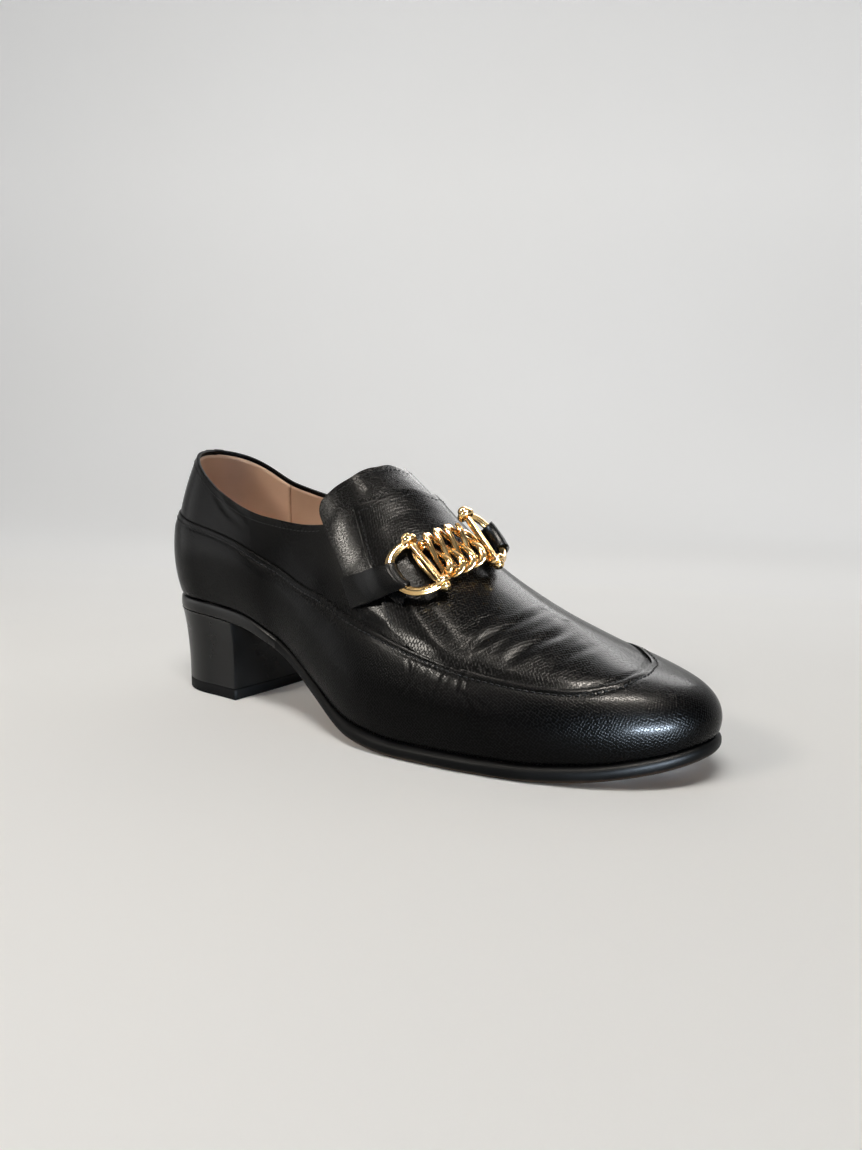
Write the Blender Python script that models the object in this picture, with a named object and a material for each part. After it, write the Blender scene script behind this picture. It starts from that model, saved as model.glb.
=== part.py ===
"""Heeled chain loafer for the right foot, toe toward +X, standing on the floor at z = 0.

Sizes are in millimetres with the back of the heel at x = 0; meshes are made in metres, centred on the floor.
"""
import math

import bmesh
import bpy
import numpy as np

MM = 0.001
GAP, SEAT_GAP = 0.3, 0.42

# Sole: underside height along the shoe, edge thickness and how far it stands out from the upper
LENGTH = 258.0
SOLE_THICK = 5.5
TREAD = dict(x=(0, 30, 60, 85, 110, 135, 158, 200, 222, 242, 258),
             z=(39.5, 37.8, 35, 26.5, 13.5, 2.5, 0, 0, 1.6, 5.2, 9.5))
LIP = dict(x=(0, 60, 100, 150, 258), out=(0.8, 0.8, 1.2, 2.4, 2.4))
# rounded sole edge: set back from the outline, height above the underside
SOLE_EDGE = ((2.4, 0.0), (0.8, 0.4), (0.0, 1.6), (0.0, 3.6), (0.5, 4.9), (1.4, SOLE_THICK))
SOLE_COLUMNS, CAP_PARTS = 68, 4

# Heel: block under the sole and the piece it stands on
BREAST_X, BREAST_BOW = 54.0, 0.6
TOP_PIECE = 5.0
HEEL_EDGE_IN = 0.8
HEEL_POINTS, BREAST_POINTS = 29, 7
# share of the way down, back moved in, width kept
HEEL_TAPER = ((0.0, 0.0, 1.0), (0.06, 0.7, 0.985), (0.35, 2.4, 0.955), (0.7, 3.6, 0.945), (1.0, 4.0, 0.95))
# edge set back, share of the thickness
TOP_PIECE_EDGE = ((0.6, 0.0), (0.0, 0.12), (0.0, 0.88), (0.5, 1.0))

# Last: plan of the feather line, right (outer) side and left (inner) side
HEEL_END, TOE_END = 6.5, 251.0
HEEL_SHARE, BALL_SHARE = 0.17, 0.60
HEEL_ROUND, TOE_ROUND = 2.3, 2.1
RIGHT = dict(heel_x=34, heel_w=24.0, waist_x=80, waist_w=26.5, ball_x=147, ball_w=40.5)
LEFT = dict(heel_x=34, heel_w=24.0, waist_x=100, waist_w=19.0, ball_x=170, ball_w=36.0)
TOE_SWING, SWING_START = 2.0, 150.0

# Last: crest over the foot and the ribs that rise to it from the feather line
CREST_SHARE = (0, HEEL_SHARE, BALL_SHARE, 1)
CREST_AT = (48, 60, 166, 200)
CREST = dict(x=(48, 80, 110, 128, 145, 165, 182, 200),
             y=(0, 1.5, 4, 6, 7, 7, 5, 2.5),
             z=(136, 125, 109, 95, 79, 62, 52.5, 45),
             squareness=(2.1, 2.2, 2.3, 2.3, 2.2, 2.2, 2.2, 2.2),
             bulge=(5.0, 5.0, 4.0, 3.5, 3.0, 3.0, 3.0, 3.0))
BULGE_PEAK = 6.75
NEAR_CREST = 0.8

# Upper: wall, thicker lower panel up to the seam, collar line and throat
WALL, GUARD = 1.8, 3.4
SEAM = dict(share=(0, 0.2, 0.32, 0.40, 0.5, 0.6, 0.7, 0.78, 0.84, 0.9, 1.0),
            level=(0.28, 0.245, 0.235, 0.255, 0.33, 0.38, 0.36, 0.365, 0.42, 0.515, 0.60))
SEAM_HALF = 0.002
TOPLINE = dict(x=(5, 20, 45, 75, 100, 110), z=(116, 109, 93, 83, 80, 80.5))
INNER_LIFT, INNER_LIFT_AT, INNER_LIFT_WIDE = 6.0, 75.0, 35.0
THROAT, COLLAR_LOW, COLLAR_LIMIT, HALVINGS = 0.428, 0.3, 0.9, 40
COLLAR_AHEAD = dict(share=(0.0, 0.428, 0.6, 0.8, 1.0), level=(0.45, 0.455, 0.55, 0.58, 0.76))
REAR_COLUMNS, FRONT_COLUMNS = 13, 18
LOW_ROWS, MID_ROWS, TOP_ROWS = 5, 5, 7

# Insole
INSOLE_THICK, INSOLE_ROUND, INSOLE_IN, INSOLE_RAISED = 2.2, 0.5, 0.5, 0.05

# Saddle under the plug: back and front edges by height from the seam (0) to the crest (1)
SADDLE_IN, SADDLE_OUT = 2.1, 3.2
SADDLE_BACK = dict(height=(0, 0.05, 0.13, 0.19, 0.25, 0.29, 0.33, 0.40, 0.55, 0.72, 0.87, 1.0),
                   share=(0.540, 0.528, 0.489, 0.459, 0.431, 0.416, 0.412, 0.416, 0.424, 0.424, 0.418, 0.416))
SADDLE_FRONT = dict(height=(0, 0.17, 0.25, 0.32, 0.40, 0.60, 1.0),
                    share=(0.620, 0.571, 0.537, 0.507, 0.482, 0.485, 0.478))
SADDLE_ROWS, SADDLE_COLUMNS, SADDLE_CROWD = 13, 8, 0.8
EDGE_LEVEL = 0.013

# Plug: top panel from the throat to the toe seam, lifted where it lies over the saddle
PLUG_IN, PLUG_THICK, PLUG_LIFT = 2.2, 1.0, 1.4
PLUG_EDGE = dict(share=(0.455, 0.485, 0.515, 0.535, 0.551, 0.60, 0.64, 1.0),
                 height=(0.40, 0.32, 0.25, 0.215, 0.17, 0.02, 0.0, 0.0))
PLUG_RAMP = (0.034, 0.06)

# Chain bit: bar centres, bar direction, half ring and links
BAR_RIGHT, BAR_LEFT = (155.8, -23.8, 71.6), (164.6, 0.4, 76.6)
BAR_ALONG = (0.76, -0.13, -0.64)
BAR_HALF, BAR_RADIUS, BAR_TILT = 12.8, 1.4, -12.0
BALL_RADIUS, EYE_AT = 2.5, 11.0
RING_DEPTH, RING_RADIUS, RING_SQUARE = 12.4, 1.5, 2.5
RING_OUT_RIGHT, RING_OUT_LEFT = (-0.48, -0.77, -0.41), (-0.16, 0.98, 0.02)
LINK_RADIUS, LINK_HALF_HIGH, LINK_TWIST = 1.1, 9.8, 2.0
# link: place along the chain, half width
LINKS = ((-11.5, 5.0), (-5.3, 4.0), (0.0, 4.0), (5.3, 4.0), (11.5, 5.0))
CHAIN_HALF = 13.1
RING_POINTS, BAR_SIDES, LINK_POINTS, LINK_SIDES = 25, 8, 24, 6

# Straps: corners as share and level at the ring and at the seam; run is distance from the ring, height from its centre
STRAP_RIGHT = dict(side=-1, ring=((0.533, 0.588), (0.563, 0.543)), seam=((0.492, 0.408), (0.529, 0.376)),
                   run=((4.0, 2.0), (8.0, 0.4), (12.0, -1.6), (16.0, -2.9), (20.0, -3.4), (24.0, -3.5)))
STRAP_LEFT = dict(side=1, ring=((0.519, 0.80), (0.556, 0.79)), seam=((0.492, 0.415), (0.529, 0.39)),
                  run=((4.0, 2.0), (9.0, 1.0), (14.0, -0.2), (19.0, -1.2), (24.0, -2.2), (28.0, -3.2)))
STRAP_THICK, STRAP_COLUMNS, STRAP_REACH = 1.2, 5, 4.0
STRAP_HOLD = RING_RADIUS + 0.5 + STRAP_THICK / 2
STRAP_TUCK, STRAP_LIFT = 5.0, 7.8
STRAP_FOLD, FOLD_POINTS = (-80, -280), 11
STRAP_BLEND = (4.0, 14.0)

LEATHER = dict(colour=(0.012, 0.011, 0.011), rough=0.35, metal=0.0)
LINING = dict(colour=(0.45, 0.30, 0.20), rough=0.7, metal=0.0)
RUBBER = dict(colour=(0.02, 0.018, 0.017), rough=0.6, metal=0.0)
GOLD = dict(colour=(0.83, 0.62, 0.30), rough=0.2, metal=1.0)


# Curves through the tables
def smooth(x, xs, ys):
    """Smooth curve through a table that adds no waves between its rows."""
    xs, ys = np.asarray(xs, float), np.asarray(ys, float)
    x = np.clip(np.asarray(x, float), xs[0], xs[-1])
    step = np.diff(xs)
    rise = np.diff(ys) / step
    total = rise[:-1] + rise[1:]
    same = rise[:-1] * rise[1:] > 0
    slope = np.empty(len(xs))
    slope[1:-1] = np.where(same, 2 * rise[:-1] * rise[1:] / np.where(same, total, 1), 0)
    slope[0], slope[-1] = rise[0], rise[-1]
    i = np.clip(np.searchsorted(xs, x, side="right") - 1, 0, len(step) - 1)
    t = (x - xs[i]) / step[i]
    start = (1 + 2 * t) * (1 - t) ** 2 * ys[i] + t * (1 - t) ** 2 * step[i] * slope[i]
    end = t * t * (3 - 2 * t) * ys[i + 1] + t * t * (t - 1) * step[i] * slope[i + 1]
    return start + end


def ease(t):
    t = np.clip(t, 0, 1)
    return t * t * (3 - 2 * t)


def tread(x):
    return smooth(x, TREAD["x"], TREAD["z"])


def seat(x):
    """Height at which the upper and the insole stand on the sole."""
    return tread(x) + SOLE_THICK + SEAT_GAP


# The last
def round_corner(turn, power):
    """Across and up on a quarter of a rounded square, turn from 0 to a right angle."""
    reach = (np.abs(np.cos(turn)) ** power + np.abs(np.sin(turn)) ** power) ** (-1 / power)
    return reach * np.cos(turn), reach * np.sin(turn)


def half_plan(share, s):
    """Feather line of one side: x and half width at a share of the way from heel to toe."""
    right_angle = math.pi / 2
    back, side = round_corner(np.clip(share / HEEL_SHARE, 0, 1) * right_angle, HEEL_ROUND)
    toe_turn = np.clip((share - BALL_SHARE) / (1 - BALL_SHARE), 0, 1) * right_angle
    wide, ahead = round_corner(toe_turn, TOE_ROUND)
    middle = np.clip((share - HEEL_SHARE) / (BALL_SHARE - HEEL_SHARE), 0, 1)
    x = s["heel_x"] + (s["ball_x"] - s["heel_x"]) * middle
    to_waist = ease((x - s["heel_x"]) / (s["waist_x"] - s["heel_x"]))
    to_ball = ease((x - s["waist_x"]) / (s["ball_x"] - s["waist_x"]))
    w = s["heel_w"] + (s["waist_w"] - s["heel_w"]) * to_waist + (s["ball_w"] - s["waist_w"]) * to_ball
    x = np.where(share < HEEL_SHARE, s["heel_x"] - (s["heel_x"] - HEEL_END) * back, x)
    w = np.where(share < HEEL_SHARE, s["heel_w"] * side, w)
    x = np.where(share > BALL_SHARE, s["ball_x"] + (TOE_END - s["ball_x"]) * ahead, x)
    w = np.where(share > BALL_SHARE, s["ball_w"] * wide, w)
    return x, w


def plan(u):
    """Feather line round the shoe: u runs 0 to 1 up the right side and 1 to 2 back down the left."""
    u = np.mod(np.asarray(u, float), 2)
    on_right = u <= 1
    share = np.where(on_right, u, 2 - u)
    right_x, right_w = half_plan(share, RIGHT)
    left_x, left_w = half_plan(share, LEFT)
    x = np.where(on_right, right_x, left_x)
    y = np.where(on_right, -right_w, left_w)
    y = y + TOE_SWING * np.clip((x - SWING_START) / (TOE_END - SWING_START), 0, None) ** 2
    return x, y


def crest_x(share):
    return smooth(share, CREST_SHARE, CREST_AT)


def crest_slope(x):
    """Rise of the crest over one millimetre, taken just inside the ends of its table."""
    x = np.clip(x, CREST["x"][0] + 0.5, CREST["x"][-1] - 0.5)
    return smooth(x + 0.5, CREST["x"], CREST["z"]) - smooth(x - 0.5, CREST["x"], CREST["z"])


def last_point(u, level):
    """Point on the last: level 0 on the feather line, 1 on the crest, past 1 down the other side."""
    u, level = np.broadcast_arrays(np.asarray(u, float), np.asarray(level, float))
    over = level > 1
    u = np.mod(np.where(over, 2 - u, u), 2)
    level = np.clip(np.where(over, 2 - level, level), 0, 1)
    share = np.where(u <= 1, u, 2 - u)
    foot_x, foot_y = plan(u)
    foot_z = seat(foot_x)
    top_x = crest_x(share)
    top_y = smooth(top_x, CREST["x"], CREST["y"])
    top_z = smooth(top_x, CREST["x"], CREST["z"])
    slope = crest_slope(top_x)
    away, up = round_corner(level * math.pi / 2, smooth(top_x, CREST["x"], CREST["squareness"]))
    reach = np.hypot(top_x - foot_x, top_y - foot_y)
    away = away + smooth(top_x, CREST["x"], CREST["bulge"]) / reach * BULGE_PEAK * up * (1 - up) ** 2
    x = top_x + (foot_x - top_x) * away
    y = top_y + (foot_y - top_y) * away
    z = foot_z + (top_z - foot_z) * up + slope * (foot_x - top_x) * away * up ** 3
    return np.stack([x, y, z], -1)


def crest_normal(share):
    """Square to the crest line, leaning neither right nor left."""
    slope = crest_slope(crest_x(share))
    normal = np.stack([-slope, np.zeros_like(slope), np.ones_like(slope)], -1)
    return normal / np.linalg.norm(normal, axis=-1, keepdims=True)


def skin(u, level, out):
    """Point on the last moved out square to its surface; near the crest the crest's own normal takes over."""
    u, level = np.broadcast_arrays(np.asarray(u, float), np.asarray(level, float))
    small = 1e-3
    close = np.minimum(level, 1 - 2 * small)
    along = last_point(u + small, close) - last_point(u - small, close)
    rise = last_point(u, close + small) - last_point(u, np.clip(close - small, 0, None))
    normal = np.cross(along, rise)
    normal = normal / np.linalg.norm(normal, axis=-1, keepdims=True)
    share = np.where(u <= 1, u, 2 - u)
    at_crest = ease((level - NEAR_CREST) / (1 - NEAR_CREST))[..., None]
    normal = normal + (crest_normal(share) - normal) * at_crest
    normal = normal / np.linalg.norm(normal, axis=-1, keepdims=True)
    return last_point(u, level) + np.asarray(out, float)[..., None] * normal


def seam_level(share):
    return smooth(share, SEAM["share"], SEAM["level"])


def collar_level(u):
    """Level at which each rib behind the throat meets the collar line."""
    u = np.asarray(u, float)
    low, high = np.full(u.shape, COLLAR_LOW), np.ones(u.shape)
    for _ in range(HALVINGS):
        mid = (low + high) / 2
        p = last_point(u, mid)
        lift = INNER_LIFT * np.exp(-((p[..., 0] - INNER_LIFT_AT) / INNER_LIFT_WIDE) ** 2) * (u > 1)
        above = p[..., 2] > smooth(p[..., 0], TOPLINE["x"], TOPLINE["z"]) + lift
        high = np.where(above, mid, high)
        low = np.where(above, low, mid)
    return low


def outline(u, out):
    """Plan points moved out from the feather line."""
    small = 1e-3
    x, y = plan(u)
    ahead, behind = plan(np.asarray(u) + small), plan(np.asarray(u) - small)
    along = np.stack([ahead[0] - behind[0], ahead[1] - behind[1]], -1)
    along = along / np.linalg.norm(along, axis=-1, keepdims=True)
    return x + along[:, 1] * out, y - along[:, 0] * out


# Meshes
def grid_faces(rows, columns, closed, keep=lambda row, column: True):
    """Quads of a grid numbered row by row, columns closed into a loop or open."""
    faces = []
    for r in range(rows - 1):
        for c in range(columns if closed else columns - 1):
            n = (c + 1) % columns
            if keep(r, c):
                faces.append((r * columns + c, r * columns + n, (r + 1) * columns + n, (r + 1) * columns + c))
    return faces


def shell(base, inner, outer, faces):
    """Closed skin from two matching sheets; points that share a place in base become one."""
    seen = {}
    index = [seen.setdefault(tuple(np.round(p, 2) + 0.0), len(seen)) for p in base.reshape(-1, 3)]
    used = sorted({index[i] for face in faces for i in face})
    number = {old: new for new, old in enumerate(used)}
    low = np.zeros((len(used), 3))
    high = np.zeros((len(used), 3))
    for i, p, q in zip(index, inner.reshape(-1, 3), outer.reshape(-1, 3)):
        if i in number:
            low[number[i]], high[number[i]] = p, q
    sheet = []
    edges = {}
    for face in faces:
        loop = list(dict.fromkeys(number[index[i]] for i in face))
        if len(loop) < 3:
            continue
        sheet.append(loop)
        for a, b in zip(loop, loop[1:] + loop[:1]):
            edges[(a, b)] = (b, a)
    count = len(used)
    closed = [[i + count for i in loop] for loop in sheet] + [loop[::-1] for loop in sheet]
    closed += [[a, b, b + count, a + count] for (a, b), back in edges.items() if back not in edges]
    return np.concatenate([low, high]), closed


def cap(points, start, count, surface):
    """Faces that close a loop straight across, with points between them laid on a surface."""
    rows = [[start]]
    for i in range(1, count // 2):
        right, left = points[start + i], points[start + count - i]
        row = [start + i]
        for t in np.linspace(0, 1, CAP_PARTS + 1)[1:-1]:
            x, y = (right + (left - right) * t)[:2]
            points.append(np.array([x, y, surface(x)]))
            row.append(len(points) - 1)
        rows.append(row + [start + count - i])
    rows.append([start + count // 2])
    faces = []
    for one, two in zip(rows, rows[1:]):
        for k in range(CAP_PARTS):
            a, b = one[min(k, len(one) - 1)], two[min(k, len(two) - 1)]
            c, d = two[min(k + 1, len(two) - 1)], one[min(k + 1, len(one) - 1)]
            faces.append(list(dict.fromkeys([a, b, c, d])))
    return faces


def loft(loops, low, high):
    """Closed body from equal loops that start on the heel centre line; low and high give the caps' heights."""
    count = len(loops[0])
    points = list(np.concatenate(loops))
    faces = grid_faces(len(loops), count, True)
    faces += cap(points, 0, count, low)
    faces += cap(points, (len(loops) - 1) * count, count, high)
    return np.array(points), faces


def tube(path, radius, closed, sides):
    """Round bar along a path, by a curve with a bevel."""
    curve = bpy.data.curves.new("path", "CURVE")
    curve.dimensions = "3D"
    curve.bevel_depth = radius
    curve.bevel_resolution = sides // 2 - 2
    curve.use_fill_caps = not closed
    spline = curve.splines.new("POLY")
    spline.points.add(len(path) - 1)
    for point, place in zip(spline.points, path):
        point.co = (*place, 1)
    spline.use_cyclic_u = closed
    holder = bpy.data.objects.new("path", curve)
    CUTTERS.objects.link(holder)
    bpy.context.view_layer.update()
    mesh = bpy.data.meshes.new_from_object(holder.evaluated_get(bpy.context.evaluated_depsgraph_get()))
    points = np.array([v.co[:] for v in mesh.vertices])
    faces = [list(p.vertices) for p in mesh.polygons]
    bpy.data.objects.remove(holder)
    return points, faces


def make(name, points, faces, finish):
    """Object with its own material, normals out, moved to the shared origin and scaled to metres."""
    mesh = bpy.data.meshes.new(name)
    mesh.from_pydata(((np.asarray(points) - ORIGIN) * MM).tolist(), [], [list(f) for f in faces])
    work = bmesh.new()
    work.from_mesh(mesh)
    bmesh.ops.remove_doubles(work, verts=work.verts, dist=1e-6)
    bmesh.ops.recalc_face_normals(work, faces=work.faces)
    work.to_mesh(mesh)
    work.free()
    mesh.shade_smooth()
    obj = bpy.data.objects.new(name, mesh)
    SHOE.objects.link(obj)
    material = bpy.data.materials.new(name)
    material.use_nodes = True
    shader = material.node_tree.nodes["Principled BSDF"]
    shader.inputs["Base Color"].default_value = (*finish["colour"], 1)
    shader.inputs["Roughness"].default_value = finish["rough"]
    shader.inputs["Metallic"].default_value = finish["metal"]
    mesh.materials.append(material)
    return obj


def unite(obj, other):
    """Join another solid to an object and drop it."""
    join = obj.modifiers.new("join", "BOOLEAN")
    join.operation = "UNION"
    join.solver = "EXACT"
    join.object = other
    bpy.context.view_layer.update()
    joined = bpy.data.meshes.new_from_object(obj.evaluated_get(bpy.context.evaluated_depsgraph_get()))
    obj.modifiers.clear()
    old = obj.data
    obj.data = joined
    joined.name = obj.name
    bpy.data.meshes.remove(old)
    bpy.data.objects.remove(other)


# Pieces
def round_loop(count):
    return np.arange(count) * 2 / count


def sole_reach(u):
    """How far the sole's outline stands out from the feather line."""
    return GUARD + smooth(plan(u)[0], LIP["x"], LIP["out"])


def shoe_middle():
    """Plan origin: halfway from the back of the upper to the tip of the sole, and halfway across the sole."""
    u = round_loop(SOLE_COLUMNS)
    edge = np.array(outline(u, sole_reach(u)))
    x_max, y_max = edge.max(1)
    levels = rib_levels(np.zeros(1))[:LOW_ROWS, 0]
    back = skin(np.zeros(LOW_ROWS), levels, np.full(LOW_ROWS, GUARD))[:, 0].min()
    return (back + x_max) / 2, (edge[1].min() + y_max) / 2


def build_outsole():
    u = round_loop(SOLE_COLUMNS)
    full = sole_reach(u)
    loops = []
    for set_back, height in SOLE_EDGE:
        px, py = outline(u, full - set_back)
        loops.append(np.stack([px, py, tread(px) + height], -1))
    make("outsole", *loft(loops, tread, lambda x: tread(x) + SOLE_THICK), RUBBER)


def bed(x):
    """Underside of the insole."""
    return seat(x) + INSOLE_RAISED


def build_insole():
    u = round_loop(SOLE_COLUMNS)
    loops = []
    for set_back, height in ((0, 0), (0, INSOLE_THICK - INSOLE_ROUND), (INSOLE_ROUND, INSOLE_THICK)):
        px, py = outline(u, np.full(u.shape, -INSOLE_IN - set_back))
        loops.append(np.stack([px, py, bed(px) + height], -1))
    make("insole", *loft(loops, bed, lambda x: bed(x) + INSOLE_THICK), LINING)


def heel_outline(back_in, width, set_back):
    """Loop round the heel: the sole's outline behind the breast, closed by a breast that bows a little."""
    shares = []
    for s in (LEFT, RIGHT):
        run = (BREAST_X - s["heel_x"]) / (s["ball_x"] - s["heel_x"])
        shares.append(HEEL_SHARE + (BALL_SHARE - HEEL_SHARE) * run)
    u = np.linspace(-shares[0], shares[1], HEEL_POINTS)
    x, y = outline(u, GUARD + LIP["out"][0] - HEEL_EDGE_IN - set_back)
    back = x.min()
    x = BREAST_X - set_back + (x - BREAST_X) * (BREAST_X - back - back_in) / (BREAST_X - back)
    y = y * width
    cross = np.linspace(0, 1, BREAST_POINTS + 2)[1:-1]
    middle = HEEL_POINTS // 2
    breast = x[-1] + (x[0] - x[-1]) * cross + BREAST_BOW * np.sin(math.pi * cross)
    x = np.concatenate([x[middle:], breast, x[:middle]])
    y = np.concatenate([y[middle:], y[-1] + (y[0] - y[-1]) * cross, y[:middle]])
    return x, y


def build_heel():
    loops = []
    for down, back_in, width in HEEL_TAPER:
        x, y = heel_outline(back_in, width, 0.0)
        top = tread(x) - GAP
        loops.append(np.stack([x, y, top + (TOP_PIECE + GAP - top) * down], -1))
    make("heel_block", *loft(loops, lambda x: tread(x) - GAP, lambda x: TOP_PIECE + GAP), LEATHER)
    loops = []
    _, back_in, width = HEEL_TAPER[-1]
    for set_back, share in TOP_PIECE_EDGE:
        x, y = heel_outline(back_in, width, set_back)
        loops.append(np.stack([x, y, np.full(x.shape, TOP_PIECE * share)], -1))
    make("heel_top_piece", *loft(loops, lambda x: 0.0, lambda x: TOP_PIECE), RUBBER)


def front_shares():
    """Columns ahead of the throat, shared by the upper and the plug so their edges run side by side."""
    return np.linspace(THROAT, 1, FRONT_COLUMNS + 1)[1:]


def rib_levels(u):
    """Rows of the upper on each rib: up to the seam, from there to the collar line, then to the crest."""
    share = np.where(u <= 1, u, 2 - u)
    seam = seam_level(share)
    throat_u = np.where(u <= 1, THROAT, 2 - THROAT)
    ahead = smooth(share, COLLAR_AHEAD["share"], COLLAR_AHEAD["level"])
    ahead = ahead + collar_level(throat_u) - smooth(THROAT, COLLAR_AHEAD["share"], COLLAR_AHEAD["level"])
    collar = np.where(share <= THROAT, collar_level(u), np.clip(ahead, 0, COLLAR_LIMIT))
    low = [(seam - SEAM_HALF) * t for t in np.linspace(0, 1, LOW_ROWS)]
    mid = [seam + SEAM_HALF + (collar - seam - SEAM_HALF) * t for t in np.linspace(0, 1, MID_ROWS)]
    top = [collar + (1 - collar) * t for t in np.linspace(0, 1, TOP_ROWS + 1)[1:]]
    return np.array(low + mid + top)


def build_upper():
    half = np.concatenate([np.linspace(0, THROAT, REAR_COLUMNS), front_shares()])
    u = np.concatenate([half, 2 - half[-2:0:-1]])
    share = np.where(u <= 1, u, 2 - u)
    level = rib_levels(u)
    thick = np.array([GUARD] * LOW_ROWS + [WALL] * (MID_ROWS + TOP_ROWS))[:, None]
    grid_u = np.broadcast_to(u, level.shape)
    base = last_point(grid_u, level)
    outer = skin(grid_u, level, np.broadcast_to(thick, level.shape))
    inner = base.copy()
    for sheet in (inner, outer):
        sheet[..., 2] = np.maximum(sheet[..., 2], seat(sheet[..., 0]))
    collar_row = LOW_ROWS + MID_ROWS - 1
    columns = len(u)

    def keep(row, column):
        both = (share[column], share[(column + 1) % columns])
        return row < collar_row or min(both) >= THROAT - 1e-9

    make("upper", *shell(base, inner, outer, grid_faces(*level.shape, True, keep)), LEATHER)


def patch_level(share, height):
    """Level at a height between the seam (0) and the crest (1)."""
    low = seam_level(share) + EDGE_LEVEL
    return low + (1 - low) * height


def patch_height(share, level):
    """Height between the seam (0) and the crest (1) at a level."""
    low = seam_level(share) + EDGE_LEVEL
    return (level - low) / (1 - low)


def both_sides(share, height):
    """Mirror a half patch that ends on the crest into one running from right to left."""
    level = patch_level(share, height)
    u = np.concatenate([share, 2 - share[-2::-1]])
    return u, np.concatenate([level, level[-2::-1]])


def build_saddle():
    height = np.linspace(0, 1, SADDLE_ROWS) ** SADDLE_CROWD
    back = smooth(height, SADDLE_BACK["height"], SADDLE_BACK["share"])[:, None]
    front = smooth(height, SADDLE_FRONT["height"], SADDLE_FRONT["share"])[:, None]
    share = back + (front - back) * np.linspace(0, 1, SADDLE_COLUMNS)
    u, level = both_sides(share, np.broadcast_to(height[:, None], share.shape))
    inner = skin(u, level, np.full(u.shape, SADDLE_IN))
    outer = skin(u, level, np.full(u.shape, SADDLE_OUT))
    make("saddle_tongue", *shell(last_point(u, level), inner, outer, grid_faces(*u.shape, False)), LEATHER)


def build_plug():
    share = front_shares()
    edge = patch_level(share, smooth(share, PLUG_EDGE["share"], PLUG_EDGE["height"]))
    right = np.maximum(rib_levels(share)[LOW_ROWS:], edge)
    left = np.maximum(rib_levels(2 - share)[LOW_ROWS:], edge)
    level = np.concatenate([right, left[-2::-1]])
    share = np.broadcast_to(share, level.shape)
    front = smooth(patch_height(share, level), SADDLE_FRONT["height"], SADDLE_FRONT["share"])
    lift = PLUG_IN + PLUG_LIFT * (1 - ease((share - front - PLUG_RAMP[0]) / PLUG_RAMP[1]))
    on_right = np.arange(len(level))[:, None] < len(right)
    u = np.where(on_right, share, 2 - share)
    inner = skin(u, level, lift)
    outer = skin(u, level, lift + PLUG_THICK)
    make("vamp_plug", *shell(last_point(u, level), inner, outer, grid_faces(*u.shape, False)), LEATHER)


def unit(v):
    v = np.asarray(v, float)
    return v / np.linalg.norm(v)


def bit_frame():
    """Chain direction, bar direction and outward normal."""
    across = unit(np.subtract(BAR_LEFT, BAR_RIGHT))
    along = np.asarray(BAR_ALONG, float)
    along = unit(along - across * (along @ across))
    return across, along, np.cross(along, across)


def ring_path(centre, out, along):
    """Centre line of a half ring, from eye to eye."""
    turn = np.linspace(0, math.pi, RING_POINTS)
    end, deep = round_corner(np.minimum(turn, math.pi - turn), RING_SQUARE)
    end = np.where(turn > math.pi / 2, end, -end) * EYE_AT
    return np.asarray(centre) + end[:, None] * along + (deep * RING_DEPTH)[:, None] * out


def build_ring(name, centre, out, tilt_sign):
    across, along, normal = bit_frame()
    tilt = math.radians(BAR_TILT) * tilt_sign
    bar = unit(along * math.cos(tilt) + normal * math.sin(tilt))
    out = unit(np.asarray(out) - bar * (np.asarray(out) @ bar))
    path = ring_path(centre, out, bar)
    ring = make(name, *tube(path, RING_RADIUS, False, BAR_SIDES), GOLD)
    ends = np.array([np.asarray(centre) - bar * BAR_HALF, np.asarray(centre) + bar * BAR_HALF])
    unite(ring, make("bar", *tube(ends, BAR_RADIUS, False, BAR_SIDES), GOLD))
    for place in ends:
        ball = bmesh.new()
        bmesh.ops.create_icosphere(ball, subdivisions=2, radius=BALL_RADIUS)
        points = np.array([v.co[:] for v in ball.verts]) + place
        faces = [[v.index for v in f.verts] for f in ball.faces]
        ball.free()
        unite(ring, make("ball", points, faces, GOLD))
    ring.data.shade_smooth()
    return path


def build_links():
    across, along, normal = bit_frame()
    centre = (np.asarray(BAR_RIGHT) + np.asarray(BAR_LEFT)) / 2
    stretch = np.linalg.norm(np.subtract(BAR_LEFT, BAR_RIGHT)) / 2 / CHAIN_HALF
    turn = np.linspace(0, 2 * math.pi, LINK_POINTS + 1)[:-1]
    for number, (place, wide) in enumerate(LINKS, 1):
        x = (place + wide * np.cos(turn)) * stretch
        path = (centre + x[:, None] * across + (LINK_HALF_HIGH * np.sin(turn))[:, None] * along
                + (LINK_TWIST * np.sin(2 * turn))[:, None] * normal)
        make(f"chain_link_{number}", *tube(path, LINK_RADIUS, True, LINK_SIDES), GOLD)


def strap_line(run):
    """Fold of a strap round its ring: distance toward the seam and height from the ring's centre."""
    wrap = np.radians(np.linspace(*STRAP_FOLD, FOLD_POINTS))
    fold = np.stack([STRAP_HOLD * np.cos(wrap), STRAP_HOLD * np.sin(wrap)], -1)
    return np.concatenate([[(STRAP_TUCK, -STRAP_HOLD)], fold, run])


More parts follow.
